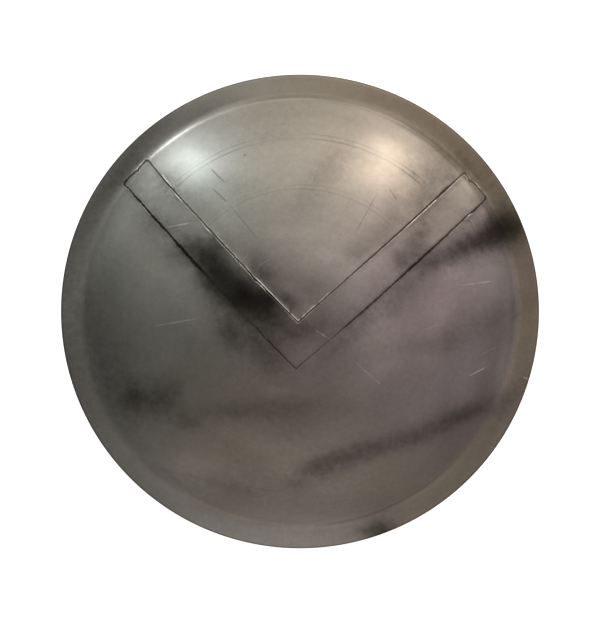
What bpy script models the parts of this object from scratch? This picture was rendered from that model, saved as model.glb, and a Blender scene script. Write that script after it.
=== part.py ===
"""Hoplite shield of spun steel sheet, lying face up on its rim.

The bowl and its flat rim are one sheet, with the outline of a chevron cut into
the face. An arm band and a hand grip are welded to the back. Metres, +Z up, the
origin on the ground below the crown, the chevron's point towards -Y.
"""
import math

import bmesh
import bpy
from mathutils import Vector

# Spun shell; the rim's width counts to where it would meet the shoulder without the
# hollow curve between them
DIAMETER = 0.900
DEPTH = 0.095
SHEET = 0.0015
RIM_WIDTH = 0.040
SHOULDER_SLOPE = math.radians(32.0)
FOOT_FILLET = 0.030
CROWN_FLAT = 0.030

# Chevron outline cut into the face; its edge is how far its outer corners stay inside
# the shield's
CHEVRON_POINT = Vector((-0.0035, 0.0016))
CHEVRON_ANGLE = math.radians(93.4)
CHEVRON_TURN = math.radians(-2.6)
CHEVRON_BAND = 0.063
CHEVRON_EDGE = 0.038
GROOVE_WIDTH = 0.0030
GROOVE_FLOOR = 0.0014
GROOVE_DEPTH = 0.0006

# Arm band: a bent steel strip that the forearm passes through, along X
BAND_WIDTH = 0.080
BAND_SHEET = 0.0020
ARM_SPAN = 0.105
ARM_CLEAR = 0.078
BAND_FOOT = 0.050
BAND_BEND = 0.008
BAND_CORNER = 0.014

# Hand grip: a bent round bar with a foot at each end
GRIP_REACH = 0.285
GRIP_BAR = 0.012
GRIP_SPAN = 0.100
GRIP_CLEAR = 0.038
GRIP_BEND = 0.016
GRIP_FOOT = 0.026
GRIP_FOOT_SHEET = 0.0025
GRIP_NECK = 0.006
GRIP_NECK_FLARE = 0.002

# Room left for the weld between a foot and the shell's back
WELD_GAP = 0.0003

# Fineness of the facets
SHELL_SEGMENTS = 96
DOME_BANDS = 12
BAND_CROWDING = 0.79
FILLET_BANDS = 4
GROOVE_STEP = 0.024
GROOVE_LEAST_STEP = 0.005
BEND_STEPS = 4
ARCH_STEPS = 14
BAND_FOOT_STEPS = 3
BAND_COLUMNS = 4
GRIP_SIDES = 12

# Edges flatter than these angles are shaded smooth
SHELL_SMOOTHING = math.radians(25.0)
FITTING_SMOOTHING = math.radians(35.0)

# Colour and roughness of the two steels
SPUN_STEEL = ((0.30, 0.29, 0.27), 0.35)
FITTING_STEEL = ((0.24, 0.24, 0.23), 0.45)

# Sizes that follow from those above
OUTER_RADIUS = DIAMETER / 2
BOWL_RADIUS = OUTER_RADIUS - RIM_WIDTH + FOOT_FILLET * math.tan(SHOULDER_SLOPE / 2)
DOME_FOOT = BOWL_RADIUS - FOOT_FILLET * math.sin(SHOULDER_SLOPE)
DOME_SPAN = DOME_FOOT - CROWN_FLAT
FILLET_RISE = FOOT_FILLET * (1 - math.cos(SHOULDER_SLOPE))
DOME_RISE = DEPTH - SHEET - FILLET_RISE
DOME_POWER = DOME_SPAN * math.tan(SHOULDER_SLOPE) / DOME_RISE


def dome_ring(share):
    """A ring of the dome, and the face's slope there, from crown flat to foot."""
    radius = CROWN_FLAT + DOME_SPAN * share
    height = DEPTH - DOME_RISE * share ** DOME_POWER
    steepness = math.tan(SHOULDER_SLOPE) * share ** (DOME_POWER - 1)
    return radius, height, math.atan(steepness)


def fillet_ring(share):
    """A ring of the hollow curve between the dome's foot and the flat rim."""
    slope = SHOULDER_SLOPE * (1 - share)
    radius = BOWL_RADIUS - FOOT_FILLET * math.sin(slope)
    return radius, SHEET + FOOT_FILLET * (1 - math.cos(slope)), slope


def sheet_rings():
    """Radius, height and slope of the face's rings, from the crown to the edge."""
    dome = [dome_ring((step / DOME_BANDS) ** BAND_CROWDING) for step in range(DOME_BANDS + 1)]
    fillet = [fillet_ring(step / FILLET_BANDS) for step in range(1, FILLET_BANDS + 1)]
    return dome + fillet + [(OUTER_RADIUS, SHEET, 0.0)]


def square_below(ring):
    """The point of the back that lies one sheet square below a ring of the face."""
    radius, height, slope = ring
    return radius - SHEET * math.sin(slope), height - SHEET * math.cos(slope)


FACE_LINE = [ring[:2] for ring in sheet_rings()]
BACK_LINE = [square_below(ring) for ring in sheet_rings()]


def height_on(line, radius):
    """Height of the face or the back at this radius, along the facets between rings."""
    if radius <= line[0][0]:
        return line[0][1]
    for (near, high), (far, low) in zip(line, line[1:]):
        if radius <= far:
            return high + (low - high) * (radius - near) / (far - near)
    return line[-1][1]


def back_height(radius):
    return height_on(BACK_LINE, radius)


def steel(name, colour, roughness):
    made = bpy.data.materials.new(name)
    made.use_nodes = True
    shader = made.node_tree.nodes["Principled BSDF"]
    shader.inputs["Base Color"].default_value = (*colour, 1.0)
    shader.inputs["Roughness"].default_value = roughness
    shader.inputs["Metallic"].default_value = 1.0
    return made


def add_object(name, mesh_maker, finish, smooth_angle):
    """Turns a bmesh into an object of that name, shaded smooth below the angle."""
    mesh = bpy.data.meshes.new(name)
    bmesh.ops.recalc_face_normals(mesh_maker, faces=mesh_maker.faces[:])
    mesh_maker.to_mesh(mesh)
    mesh_maker.free()
    mesh.shade_smooth()
    mesh.set_sharp_from_angle(angle=smooth_angle)
    made = bpy.data.objects.new(name, mesh)
    if finish:
        mesh.materials.append(finish)
    bpy.context.scene.collection.objects.link(made)
    return made


def add_shell(finish):
    """Spins the closed section of the sheet and closes both sides of the crown."""
    maker = bmesh.new()
    outline = FACE_LINE + BACK_LINE[::-1]
    section = [maker.verts.new((radius, 0.0, height)) for radius, height in outline]
    edges = [maker.edges.new(pair) for pair in zip(section, section[1:])]
    bmesh.ops.spin(maker, geom=section + edges, axis=(0, 0, 1), cent=(0, 0, 0),
                   angle=2 * math.pi, steps=SHELL_SEGMENTS, use_merge=True)
    open_edges = [edge for edge in maker.edges if edge.is_boundary]
    bmesh.ops.holes_fill(maker, edges=open_edges, sides=0)
    return add_object("shell", maker, finish, SHELL_SMOOTHING)


def reach_to_circle(start, direction, radius):
    """Distance along the line from start, inside the circle, to the circle."""
    along = start.dot(direction)
    return -along + math.sqrt(along * along + radius * radius - start.dot(start))


def chevron_corners():
    """The six corners of the chevron's outline, seen from above, in order."""
    half = CHEVRON_ANGLE / 2
    middle = math.pi / 2 + CHEVRON_TURN
    down = -Vector((math.cos(middle), math.sin(middle)))
    outer_point = CHEVRON_POINT + down * (CHEVRON_BAND / math.sin(half))
    ends = []
    for side in (1, -1):
        arm = Vector((math.cos(middle + side * half), math.sin(middle + side * half)))
        inward = Vector((arm.y, -arm.x)) * side
        reach = reach_to_circle(outer_point, arm, OUTER_RADIUS - CHEVRON_EDGE)
        outer_end = outer_point + arm * reach
        ends.append((outer_end + inward * CHEVRON_BAND, outer_end))
    (left_inner, left_outer), (right_inner, right_outer) = ends
    return [CHEVRON_POINT, left_inner, left_outer, outer_point, right_outer, right_inner]


def ring_crossings(start, along, length):
    """Distances along a line at which it crosses the rings of the hollow curve."""
    nearest = -start.dot(along)
    beside = abs(start.cross(along))
    crossings = []
    for radius, _ in FACE_LINE[DOME_BANDS:]:
        if radius > beside:
            half = math.sqrt(radius ** 2 - beside ** 2)
            crossings += [at for at in (nearest - half, nearest + half) if 0 < at < length]
    return crossings


def outline_stations(corners):
    """Points along the closed outline, each with the direction across the groove.

    At a corner the direction is the mitre, lengthened so that the groove keeps
    its width on both lines.
    """
    stations = []
    for index, corner in enumerate(corners):
        before = (corner - corners[index - 1]).normalized()
        following = corners[(index + 1) % len(corners)]
        length = (following - corner).length
        after = (following - corner) / length
        across_before = Vector((before.y, -before.x))
        across_after = Vector((after.y, -after.x))
        mitre = (across_before + across_after).normalized()
        stations.append((corner, mitre / mitre.dot(across_after)))
        steps = max(2, round(length / GROOVE_STEP))
        distances = [length * step / steps for step in range(1, steps)]
        distances += ring_crossings(corner, after, length)
        last = 0.0
        for distance in sorted(distances):
            if min(distance - last, length - distance) > GROOVE_LEAST_STEP:
                stations.append((corner + after * distance, across_after))
                last = distance
    return stations


def add_groove_cutter():
    """A bar of trapezoid section along the outline, with its narrow side sunk in."""
    lift = GROOVE_DEPTH
    flare = (GROOVE_WIDTH - GROOVE_FLOOR) / 2
    section = [(-GROOVE_FLOOR / 2, -GROOVE_DEPTH), (GROOVE_FLOOR / 2, -GROOVE_DEPTH),
               (GROOVE_WIDTH / 2 + flare, lift), (-GROOVE_WIDTH / 2 - flare, lift)]
    maker = bmesh.new()
    rings = []
    for place, across in outline_stations(chevron_corners()):
        ring = []
        for offset, height in section:
            spot = place + across * offset
            surface = height_on(FACE_LINE, spot.length)
            ring.append(maker.verts.new((spot.x, spot.y, surface + height)))
        rings.append(ring)
    sides = len(section)
    for index, ring in enumerate(rings):
        following = rings[(index + 1) % len(rings)]
        for side in range(sides):
            beside = (side + 1) % sides
            maker.faces.new((ring[side], ring[beside], following[beside], following[side]))
    cutter = add_object("groove_cutter", maker, None, SHELL_SMOOTHING)
    cutter.hide_render = True
    cutter.display_type = "WIRE"
    return cutter


def cut(target, cutter):
    modifier = target.modifiers.new(cutter.name, "BOOLEAN")
    modifier.operation = "DIFFERENCE"
    modifier.solver = "EXACT"
    modifier.object = cutter


def band_half_width(from_end):
    """Half the strip's width at this distance from its end, with the corners rounded."""
    if from_end >= BAND_CORNER:
        return BAND_WIDTH / 2
    short = BAND_CORNER - from_end
    return BAND_WIDTH / 2 - BAND_CORNER + math.sqrt(BAND_CORNER ** 2 - short ** 2)


def band_half_path():
    """The strip's upper side from one end to the bottom of the arch.

    Each entry is its place along Y, its height, half its width, and how far it
    still follows the shell: 1 on the foot, 0 from the leg on.
    """
    leg = ARM_SPAN / 2
    bend = leg + BAND_BEND
    end = bend + BAND_FOOT
    corner_steps = [BAND_CORNER * (1 - math.cos(math.pi / 2 * step / BEND_STEPS))
                    for step in range(BEND_STEPS + 1)]
    straight = [BAND_CORNER + (BAND_FOOT - BAND_CORNER) * step / BAND_FOOT_STEPS
                for step in range(1, BAND_FOOT_STEPS + 1)]
    path = []
    for from_end in corner_steps + straight:
        place = end - from_end
        path.append((-place, back_height(place) - WELD_GAP, band_half_width(from_end), 1.0))
    bend_top = back_height(bend) - WELD_GAP
    for step in range(1, BEND_STEPS + 1):
        turn = math.pi / 2 * step / BEND_STEPS
        path.append((-bend + BAND_BEND * math.sin(turn),
                     bend_top - BAND_BEND * (1 - math.cos(turn)), BAND_WIDTH / 2,
                     math.cos(turn)))
    arch_centre = back_height(0.0) - ARM_CLEAR + leg
    for step in range(ARCH_STEPS // 2 + 1):
        turn = math.pi * step / ARCH_STEPS
        path.append((-leg * math.cos(turn), arch_centre - leg * math.sin(turn),
                     BAND_WIDTH / 2, 0.0))
    return path


def add_arm_band(finish):
    half = band_half_path()
    whole = half + [(-place, *rest) for place, *rest in half[-2::-1]]
    maker = bmesh.new()
    rows = []
    for place, height, half_width, follow in whole:
        row = []
        for column in range(BAND_COLUMNS + 1):
            across = half_width * (2 * column / BAND_COLUMNS - 1)
            fall = back_height(math.hypot(across, place)) - back_height(abs(place))
            row.append(maker.verts.new((across, place, height + follow * fall)))
        rows.append(row)
    for row, following in zip(rows, rows[1:]):
        for column in range(BAND_COLUMNS):
            maker.faces.new((row[column], row[column + 1],
                             following[column + 1], following[column]))
    band = add_object("arm_band", maker, finish, FITTING_SMOOTHING)
    if band.data.polygons[0].normal.z < 0:
        band.data.flip_normals()
    wall = band.modifiers.new("wall", "SOLIDIFY")
    wall.thickness = BAND_SHEET
    wall.offset = -1.0
    return band


def grip_rings():
    """The rings of half the grip, from its foot to its middle.

    Each entry is the ring's centre, the direction along the bar, its radius, and
    whether it follows the slope of the shell's back, as the foot's rings do.
    """
    leg = GRIP_SPAN / 2 + GRIP_BAR / 2
    top = back_height(math.hypot(GRIP_REACH, leg)) - WELD_GAP
    bar_height = back_height(GRIP_REACH) - GRIP_CLEAR - GRIP_BAR / 2
    down = Vector((0, 0, -1))
    bar = GRIP_BAR / 2
    foot_end = top - GRIP_FOOT_SHEET
    rings = [(Vector((-GRIP_REACH, -leg, top)), down, GRIP_FOOT / 2, True),
             (Vector((-GRIP_REACH, -leg, foot_end)), down, GRIP_FOOT / 2, True),
             (Vector((-GRIP_REACH, -leg, foot_end)), down, bar + GRIP_NECK_FLARE, True),
             (Vector((-GRIP_REACH, -leg, foot_end - GRIP_NECK)), down, bar, False)]
    for step in range(BEND_STEPS + 1):
        turn = math.pi / 2 * step / BEND_STEPS
        centre = Vector((-GRIP_REACH, -leg + GRIP_BEND * (1 - math.cos(turn)),
                         bar_height + GRIP_BEND * (1 - math.sin(turn))))
        rings.append((centre, Vector((0, math.sin(turn), -math.cos(turn))), bar, False))
    return rings


def add_hand_grip(finish):
    half = grip_rings()
    maker = bmesh.new()
    rings = []
    for mirrored in (False, True):
        half_rings = []
        for centre, along, radius, follows_back in half:
            across = Vector((1, 0, 0))
            square = along.cross(across)
            ring = []
            for side in range(GRIP_SIDES):
                turn = 2 * math.pi * side / GRIP_SIDES
                spot = centre + across * (radius * math.cos(turn))
                spot += square * (radius * math.sin(turn))
                if follows_back:
                    fall = back_height(math.hypot(spot.x, spot.y)) - back_height(centre.xy.length)
                    spot.z += fall
                if mirrored:
                    spot.y = -spot.y
                ring.append(maker.verts.new(spot))
            half_rings.append(ring)
        rings += half_rings[::-1] if mirrored else half_rings
    for ring, following in zip(rings, rings[1:]):
        for side in range(GRIP_SIDES):
            beside = (side + 1) % GRIP_SIDES
            maker.faces.new((ring[side], ring[beside], following[beside], following[side]))
    maker.faces.new(rings[0])
    maker.faces.new(rings[-1])
    return add_object("hand_grip", maker, finish, FITTING_SMOOTHING)


for startup_object in list(bpy.data.objects):
    bpy.data.objects.remove(startup_object)

spun_steel = steel("spun_steel", *SPUN_STEEL)
fitting_steel = steel("fitting_steel", *FITTING_STEEL)

shell = add_shell(spun_steel)
cut(shell, add_groove_cutter())
add_arm_band(fitting_steel)
add_hand_grip(fitting_steel)
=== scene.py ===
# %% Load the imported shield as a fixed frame
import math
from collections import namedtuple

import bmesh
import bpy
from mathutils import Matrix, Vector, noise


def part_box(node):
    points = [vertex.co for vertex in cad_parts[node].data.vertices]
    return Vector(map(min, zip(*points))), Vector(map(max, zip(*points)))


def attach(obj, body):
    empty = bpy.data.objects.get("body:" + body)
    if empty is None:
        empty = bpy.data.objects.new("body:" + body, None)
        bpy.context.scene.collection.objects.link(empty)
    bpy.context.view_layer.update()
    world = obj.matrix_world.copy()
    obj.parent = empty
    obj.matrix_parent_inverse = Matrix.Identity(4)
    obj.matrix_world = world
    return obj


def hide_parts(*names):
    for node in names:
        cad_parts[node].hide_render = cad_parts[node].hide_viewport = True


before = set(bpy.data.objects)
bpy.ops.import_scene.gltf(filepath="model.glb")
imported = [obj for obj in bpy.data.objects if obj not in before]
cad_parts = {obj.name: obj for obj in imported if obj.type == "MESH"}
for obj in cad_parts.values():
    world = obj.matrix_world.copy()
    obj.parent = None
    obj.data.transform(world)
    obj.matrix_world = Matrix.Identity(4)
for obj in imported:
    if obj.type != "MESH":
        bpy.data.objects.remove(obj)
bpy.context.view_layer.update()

# %% [markdown]
# # A hoplite shield in bare steel
#
# The real thing is one disc of steel sheet, spun over a former into a shallow bowl
# with a flat rim. Somebody then cut the outline of a chevron into its face by hand.
# It lies on its rim here, face up, and the camera looks down on it.
#
# The imported model gives the sizes that everything else follows. Its boxes are read here.

shell_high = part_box("shell")[1]
band_low, band_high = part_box("arm_band")
grip_low, grip_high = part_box("hand_grip")

OUTER_RADIUS = shell_high.x
DEPTH = shell_high.z
print("shield", round(2 * OUTER_RADIUS, 4), "m across,", round(DEPTH, 4), "m deep")

# %% [markdown]
# ## Where the picture is taken from
#
# The camera comes first, because the marks on the face are placed through it. It looks
# down on the lying shield, seven and a half degrees off the vertical. Its distance and
# angle follow from the photographed outline, which is a little wider than high, and
# from the crown, which shows a little below the outline's middle.

# %% The camera
PICTURE_HEIGHT = 623
CAMERA_TILT = math.radians(7.65)
CAMERA_DISTANCE = 3.5
CAMERA_AIM = Vector((0.0, 0.0077, 0.0015))
FOCAL_PIXELS = 1860.3
SENSOR = 36.0

view_back = Vector((0.0, math.sin(CAMERA_TILT), math.cos(CAMERA_TILT)))
view_right = Vector((1.0, 0.0, 0.0))
view_up = view_back.cross(view_right)

bpy.ops.object.camera_add(location=CAMERA_AIM + view_back * CAMERA_DISTANCE,
                          rotation=(-CAMERA_TILT, 0.0, 0.0))
camera = bpy.context.active_object
camera.name = "camera"
camera.data.sensor_width = SENSOR
camera.data.lens = FOCAL_PIXELS * SENSOR / PICTURE_HEIGHT
bpy.context.scene.camera = camera
print("lens", round(camera.data.lens, 2), "mm,", CAMERA_DISTANCE, "m away")

# %% [markdown]
# ## The section of the sheet
#
# A spun dish is drawn by half of its section: from the middle of the crown down to
# the hollow curve at the foot, and out along the rim. The slope grows with a power of
# the distance from the crown, which gives the flat crown and the full shoulder of such
# bowls. A wide hollow curve joins it to the rim; the rim's width is counted to where
# the two would meet without it. The height and the slope are functions of the radius,
# because later steps ask for them at any point: marks, welds and fittings all sit on
# this surface.

# %% The face's height and slope at any radius
MILLIMETRE = 0.001
SHEET = 1.5 * MILLIMETRE
RIM_WIDTH = 40 * MILLIMETRE
SHOULDER_SLOPE = math.radians(32.0)
FOOT_FILLET = 30 * MILLIMETRE
CROWN_FLAT = 30 * MILLIMETRE
EDGE_ROUND = 0.5 * MILLIMETRE
BACK_STEPS = 6

BOWL_RADIUS = OUTER_RADIUS - RIM_WIDTH + FOOT_FILLET * math.tan(SHOULDER_SLOPE / 2)
DOME_FOOT = BOWL_RADIUS - FOOT_FILLET * math.sin(SHOULDER_SLOPE)
DOME_SPAN = DOME_FOOT - CROWN_FLAT
DOME_RISE = DEPTH - SHEET - FOOT_FILLET * (1 - math.cos(SHOULDER_SLOPE))
DOME_POWER = DOME_SPAN * math.tan(SHOULDER_SLOPE) / DOME_RISE


def face_slope(radius):
    if radius <= CROWN_FLAT or radius >= BOWL_RADIUS:
        return 0.0
    if radius >= DOME_FOOT:
        return math.asin((BOWL_RADIUS - radius) / FOOT_FILLET)
    share = (radius - CROWN_FLAT) / DOME_SPAN
    return math.atan(math.tan(SHOULDER_SLOPE) * share ** (DOME_POWER - 1))


def face_height(radius):
    if radius <= CROWN_FLAT:
        return DEPTH
    if radius <= DOME_FOOT:
        return DEPTH - DOME_RISE * ((radius - CROWN_FLAT) / DOME_SPAN) ** DOME_POWER
    return SHEET + FOOT_FILLET * (1 - math.cos(face_slope(radius)))


def back_point(radius):
    """The point one sheet below the face, measured square to it."""
    slope = face_slope(radius)
    return radius - SHEET * math.sin(slope), face_height(radius) - SHEET * math.cos(slope)


def back_height(radius):
    """The height of the sheet's back, found by steps, since it is offset from the face."""
    on_face = radius
    for _ in range(BACK_STEPS):
        on_face = radius + SHEET * math.sin(face_slope(on_face))
    return back_point(on_face)[1]


print("slope at the foot", round(math.degrees(face_slope(DOME_FOOT)), 1), "degrees")

# %% [markdown]
# ## Spinning the sheet
#
# A circle primitive with as many corners as the section has points is opened at the
# axis and laid along the section. The Spin tool then turns it once round, as the lathe
# does. Near the axis the spun faces would shrink to slivers, so the crown is left open
# and filled with an even grid instead: the tip of the chevron is cut exactly there.

# %% Helpers for even steps and for working in edit mode
QUARTER_TURN = math.pi / 2
FULL_TURN = 2 * math.pi


def shares(count):
    """1/count, 2/count and so on, up to 1."""
    return [step / count for step in range(1, count + 1)]


def select_only(*pieces):
    """Selects these objects and no other, and makes the first one active."""
    bpy.ops.object.select_all(action="DESELECT")
    for piece in pieces:
        piece.select_set(True)
    bpy.context.view_layer.objects.active = pieces[0]


def start_editing(piece):
    select_only(piece)
    bpy.ops.object.mode_set(mode="EDIT")
    bpy.ops.mesh.select_all(action="DESELECT")
    return bmesh.from_edit_mesh(piece.data)


def stop_editing():
    bpy.ops.object.mode_set(mode="OBJECT")


def turn_outwards(piece):
    """Makes all faces of a closed piece look outwards."""
    start_editing(piece)
    bpy.ops.mesh.select_all(action="SELECT")
    bpy.ops.mesh.normals_make_consistent(inside=False)
    stop_editing()


def pick(shape, wanted, kind="verts"):
    """Selects the corners, edges or faces for which wanted is true, and nothing else."""
    for element in (*shape.faces, *shape.edges, *shape.verts):
        element.select_set(False)
    chosen = [element for element in getattr(shape, kind) if wanted(element)]
    for element in chosen:
        element.select_set(True)
    return chosen


def radius_of(place):
    return math.hypot(place[0], place[1])


# %% The section's points, from the crown round the edge and back under it
SEGMENTS = 256
GRID_RADIUS = 80 * MILLIMETRE
FACE_RINGS = 46
BACK_RINGS = 24
FILLET_RINGS = 10
RIM_RINGS = 5
RING_CROWDING = 0.85
EDGE_STEPS = 4
SAME_CORNER = 0.01 * MILLIMETRE


def dome_radii(count):
    """Radii from the grid's edge to the foot, closer together where the sheet bends."""
    return [GRID_RADIUS + (DOME_FOOT - GRID_RADIUS) * share ** RING_CROWDING
            for share in (0, *shares(count))]


def outer_radii():
    """Radii of the fillet's rings and of the flat rim's, up to the rounded edge."""
    fillet = [BOWL_RADIUS - FOOT_FILLET * math.sin(SHOULDER_SLOPE * (1 - share))
              for share in shares(FILLET_RINGS)]
    flat = OUTER_RADIUS - EDGE_ROUND - BOWL_RADIUS
    return fillet + [BOWL_RADIUS + flat * share for share in shares(RIM_RINGS)]


def rounded_edge():
    """The rim's edge: a quarter round above and one below."""
    quarter = [QUARTER_TURN * share for share in shares(EDGE_STEPS)]
    above = [(OUTER_RADIUS - EDGE_ROUND * (1 - math.sin(turn)),
              SHEET - EDGE_ROUND * (1 - math.cos(turn))) for turn in quarter]
    below = [(OUTER_RADIUS - EDGE_ROUND * (1 - math.cos(turn)),
              EDGE_ROUND * (1 - math.sin(turn))) for turn in quarter]
    return above + below


face_line = [(radius, face_height(radius)) for radius in dome_radii(FACE_RINGS) + outer_radii()]
back_line = [back_point(radius) for radius in dome_radii(BACK_RINGS) + outer_radii()]
section = face_line + rounded_edge() + back_line[-2::-1]
print("the section has", len(section), "points")

# %% Lay a circle of corners along the section, and spin it
bpy.ops.mesh.primitive_circle_add(vertices=len(section), radius=OUTER_RADIUS, fill_type="NOTHING")
shield = bpy.context.active_object
shield.name = "spun_shell"
shape = start_editing(shield)
shape.verts.ensure_lookup_table()
opening = shape.edges.get((shape.verts[0], shape.verts[-1]))
pick(shape, lambda edge: edge == opening, "edges")
bpy.ops.mesh.delete(type="EDGE")
shape = bmesh.from_edit_mesh(shield.data)
shape.verts.ensure_lookup_table()
for corner, (radius, height) in zip(shape.verts, section):
    corner.co = (radius, 0.0, height)
bpy.ops.mesh.select_all(action="SELECT")
bpy.ops.mesh.spin(steps=SEGMENTS, angle=FULL_TURN, center=(0, 0, 0), axis=(0, 0, 1),
                  use_auto_merge=True)
bpy.ops.mesh.select_all(action="SELECT")
bpy.ops.mesh.remove_doubles(threshold=SAME_CORNER)
stop_editing()
print("spun", len(shield.data.vertices), "corners,", len(shield.data.polygons), "faces")

# %% Close the crown on both sides with an even grid
for above in (True, False):
    shape = start_editing(shield)
    rim_of_hole = pick(shape, lambda edge: edge.is_boundary
                       and (edge.verts[0].co.z > face_height(GRID_RADIUS) - SHEET / 2) == above,
                       "edges")
    bpy.ops.mesh.fill_grid(span=len(rim_of_hole) // 4)
    stop_editing()
turn_outwards(shield)
print("closed:", len(shield.data.polygons), "faces")

# %% [markdown]
# ## The chevron, gouged by hand
#
# The outline is one closed line with six corners. On the real face it was cut with a
# graver along a straightedge: a groove with a dark floor, and a bright burr thrown up
# on one side or the other, never quite even. Its corners are worked out just as the
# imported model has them, so the fine groove runs over the plain one.

# %% Where the outline's corners are
CHEVRON_POINT = Vector((-3.5, 1.6)) * MILLIMETRE
CHEVRON_ANGLE = math.radians(93.4)
CHEVRON_TURN = math.radians(-2.6)
CHEVRON_BAND = 63 * MILLIMETRE
CHEVRON_EDGE = 38 * MILLIMETRE


def reach_to_circle(start, direction, radius):
    """Distance along the line from start, inside the circle, to the circle."""
    along = start.dot(direction)
    return -along + math.sqrt(along * along + radius * radius - start.dot(start))


def chevron_corners():
    """The six corners, seen from above, in order round the band."""
    half = CHEVRON_ANGLE / 2
    middle = QUARTER_TURN + CHEVRON_TURN
    down = -Vector((math.cos(middle), math.sin(middle)))
    outer_point = CHEVRON_POINT + down * (CHEVRON_BAND / math.sin(half))
    ends = []
    for side in (1, -1):
        arm = Vector((math.cos(middle + side * half), math.sin(middle + side * half)))
        inward = Vector((arm.y, -arm.x)) * side
        reach = reach_to_circle(outer_point, arm, OUTER_RADIUS - CHEVRON_EDGE)
        outer_end = outer_point + arm * reach
        ends.append((outer_end + inward * CHEVRON_BAND, outer_end))
    (left_inner, left_outer), (right_inner, right_outer) = ends
    return [CHEVRON_POINT, left_inner, left_outer, outer_point, right_outer, right_inner]


CORNERS = chevron_corners()
print("corners", [[round(value, 4) for value in spot] for spot in CORNERS])

# %% The six lines between them
LINE_NAMES = ("inner_left", "left_end", "outer_left", "outer_right", "right_end", "inner_right")


class Line:
    """One straight line of the outline; a distance beside it counts outwards."""

    def __init__(self, name, before, start, end, after):
        self.name = name
        self.start = start
        self.along = (end - start).normalized()
        self.length = (end - start).length
        self.outward = Vector((self.along.y, -self.along.x))
        self.mitre_start = self.mitre((start - before).normalized())
        self.mitre_end = self.mitre((after - end).normalized())

    def mitre(self, other_along):
        other_outward = Vector((other_along.y, -other_along.x))
        middle = (self.outward + other_outward).normalized()
        return middle / middle.dot(self.outward)

    def spot(self, share, beside):
        """The point at this share of the line's length, that far beside the line."""
        near = self.start + self.mitre_start * beside
        far = self.start + self.along * self.length + self.mitre_end * beside
        return near.lerp(far, share)

    def beside(self, place):
        """How far the place lies beside the line, or None past the mitres at its ends."""
        step = place - self.start
        across = step.dot(self.outward)
        along = step.dot(self.along)
        begins = across * self.mitre_start.dot(self.along)
        ends = self.length + across * self.mitre_end.dot(self.along)
        return across if begins <= along <= ends else None


def corner(index):
    return CORNERS[index % len(CORNERS)]


LINES = [Line(name, corner(i - 1), corner(i), corner(i + 1), corner(i + 2))
         for i, name in enumerate(LINE_NAMES)]
for line in LINES:
    print(line.name, round(line.length / MILLIMETRE, 1), "mm long")

# %% [markdown]
# ## Room for the cut lines
#
# A groove three millimetres wide needs far finer faces than the rest of the bowl. So a
# narrow lane is opened in the face along the whole outline: bisect cuts follow the
# mitre at each corner and then both edges of the lane, and the faces between them are
# deleted. A fine strip will lie in the lane.

# %% Open the lane
LANE = 11.4 * MILLIMETRE
NEAR_LANE = 25 * MILLIMETRE
SAME_PLACE = 0.02 * MILLIMETRE
FACING_UP = 0.5


def is_on_face(face):
    return face.normal.z > FACING_UP


def cut_faces(faces, place, normal):
    """Bisects the chosen faces along an upright plane through the place."""
    pick(shape, lambda face: face in faces, "faces")
    bpy.ops.mesh.bisect(plane_co=(place.x, place.y, 0.0), plane_no=(normal.x, normal.y, 0.0),
                        threshold=SAME_PLACE)


def faces_near(place, reach):
    return {face for face in shape.faces if is_on_face(face)
            and (face.calc_center_median().xy - place).length < reach}


def faces_beside(line, reach):
    """Faces of the front whose middle lies in the line's stretch, within reach of it."""
    chosen = set()
    for face in shape.faces:
        if is_on_face(face):
            beside = line.beside(face.calc_center_median().xy)
            if beside is not None and abs(beside) < reach:
                chosen.add(face)
    return chosen


shape = start_editing(shield)
for line in LINES:
    across_mitre = Vector((line.mitre_start.y, -line.mitre_start.x))
    cut_faces(faces_near(line.start, NEAR_LANE), line.start, across_mitre)
for line in LINES:
    for side in (-1, 1):
        cut_faces(faces_beside(line, NEAR_LANE), line.start + line.outward * side * LANE,
                  line.outward)
in_lane = set().union(*(faces_beside(line, LANE) for line in LINES))
pick(shape, lambda face: face in in_lane, "faces")
bpy.ops.mesh.delete(type="FACE")
stop_editing()
print("lane opened:", len(in_lane), "faces taken out")

# %% [markdown]
# ## The gouged strip
#
# The strip starts as a flat grid primitive: its columns run across the groove and its
# rows along the outline. Each corner of the grid is then laid on the face. The graver
# slipped, bit unevenly and threw up its burr now on one side, now on the other. So a
# short list for each line says how it was cut at a few places, and noise roughens it
# in between. Three numbers are kept with each point for the finish: how deep in the
# groove it is, how bright the painted highlight on its burr is, and how much dirt has
# stayed beside the cut.

# %% How each line was cut
Cut = namedtuple("Cut", "share shift half burr_out burr_in dark dirt")

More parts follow.
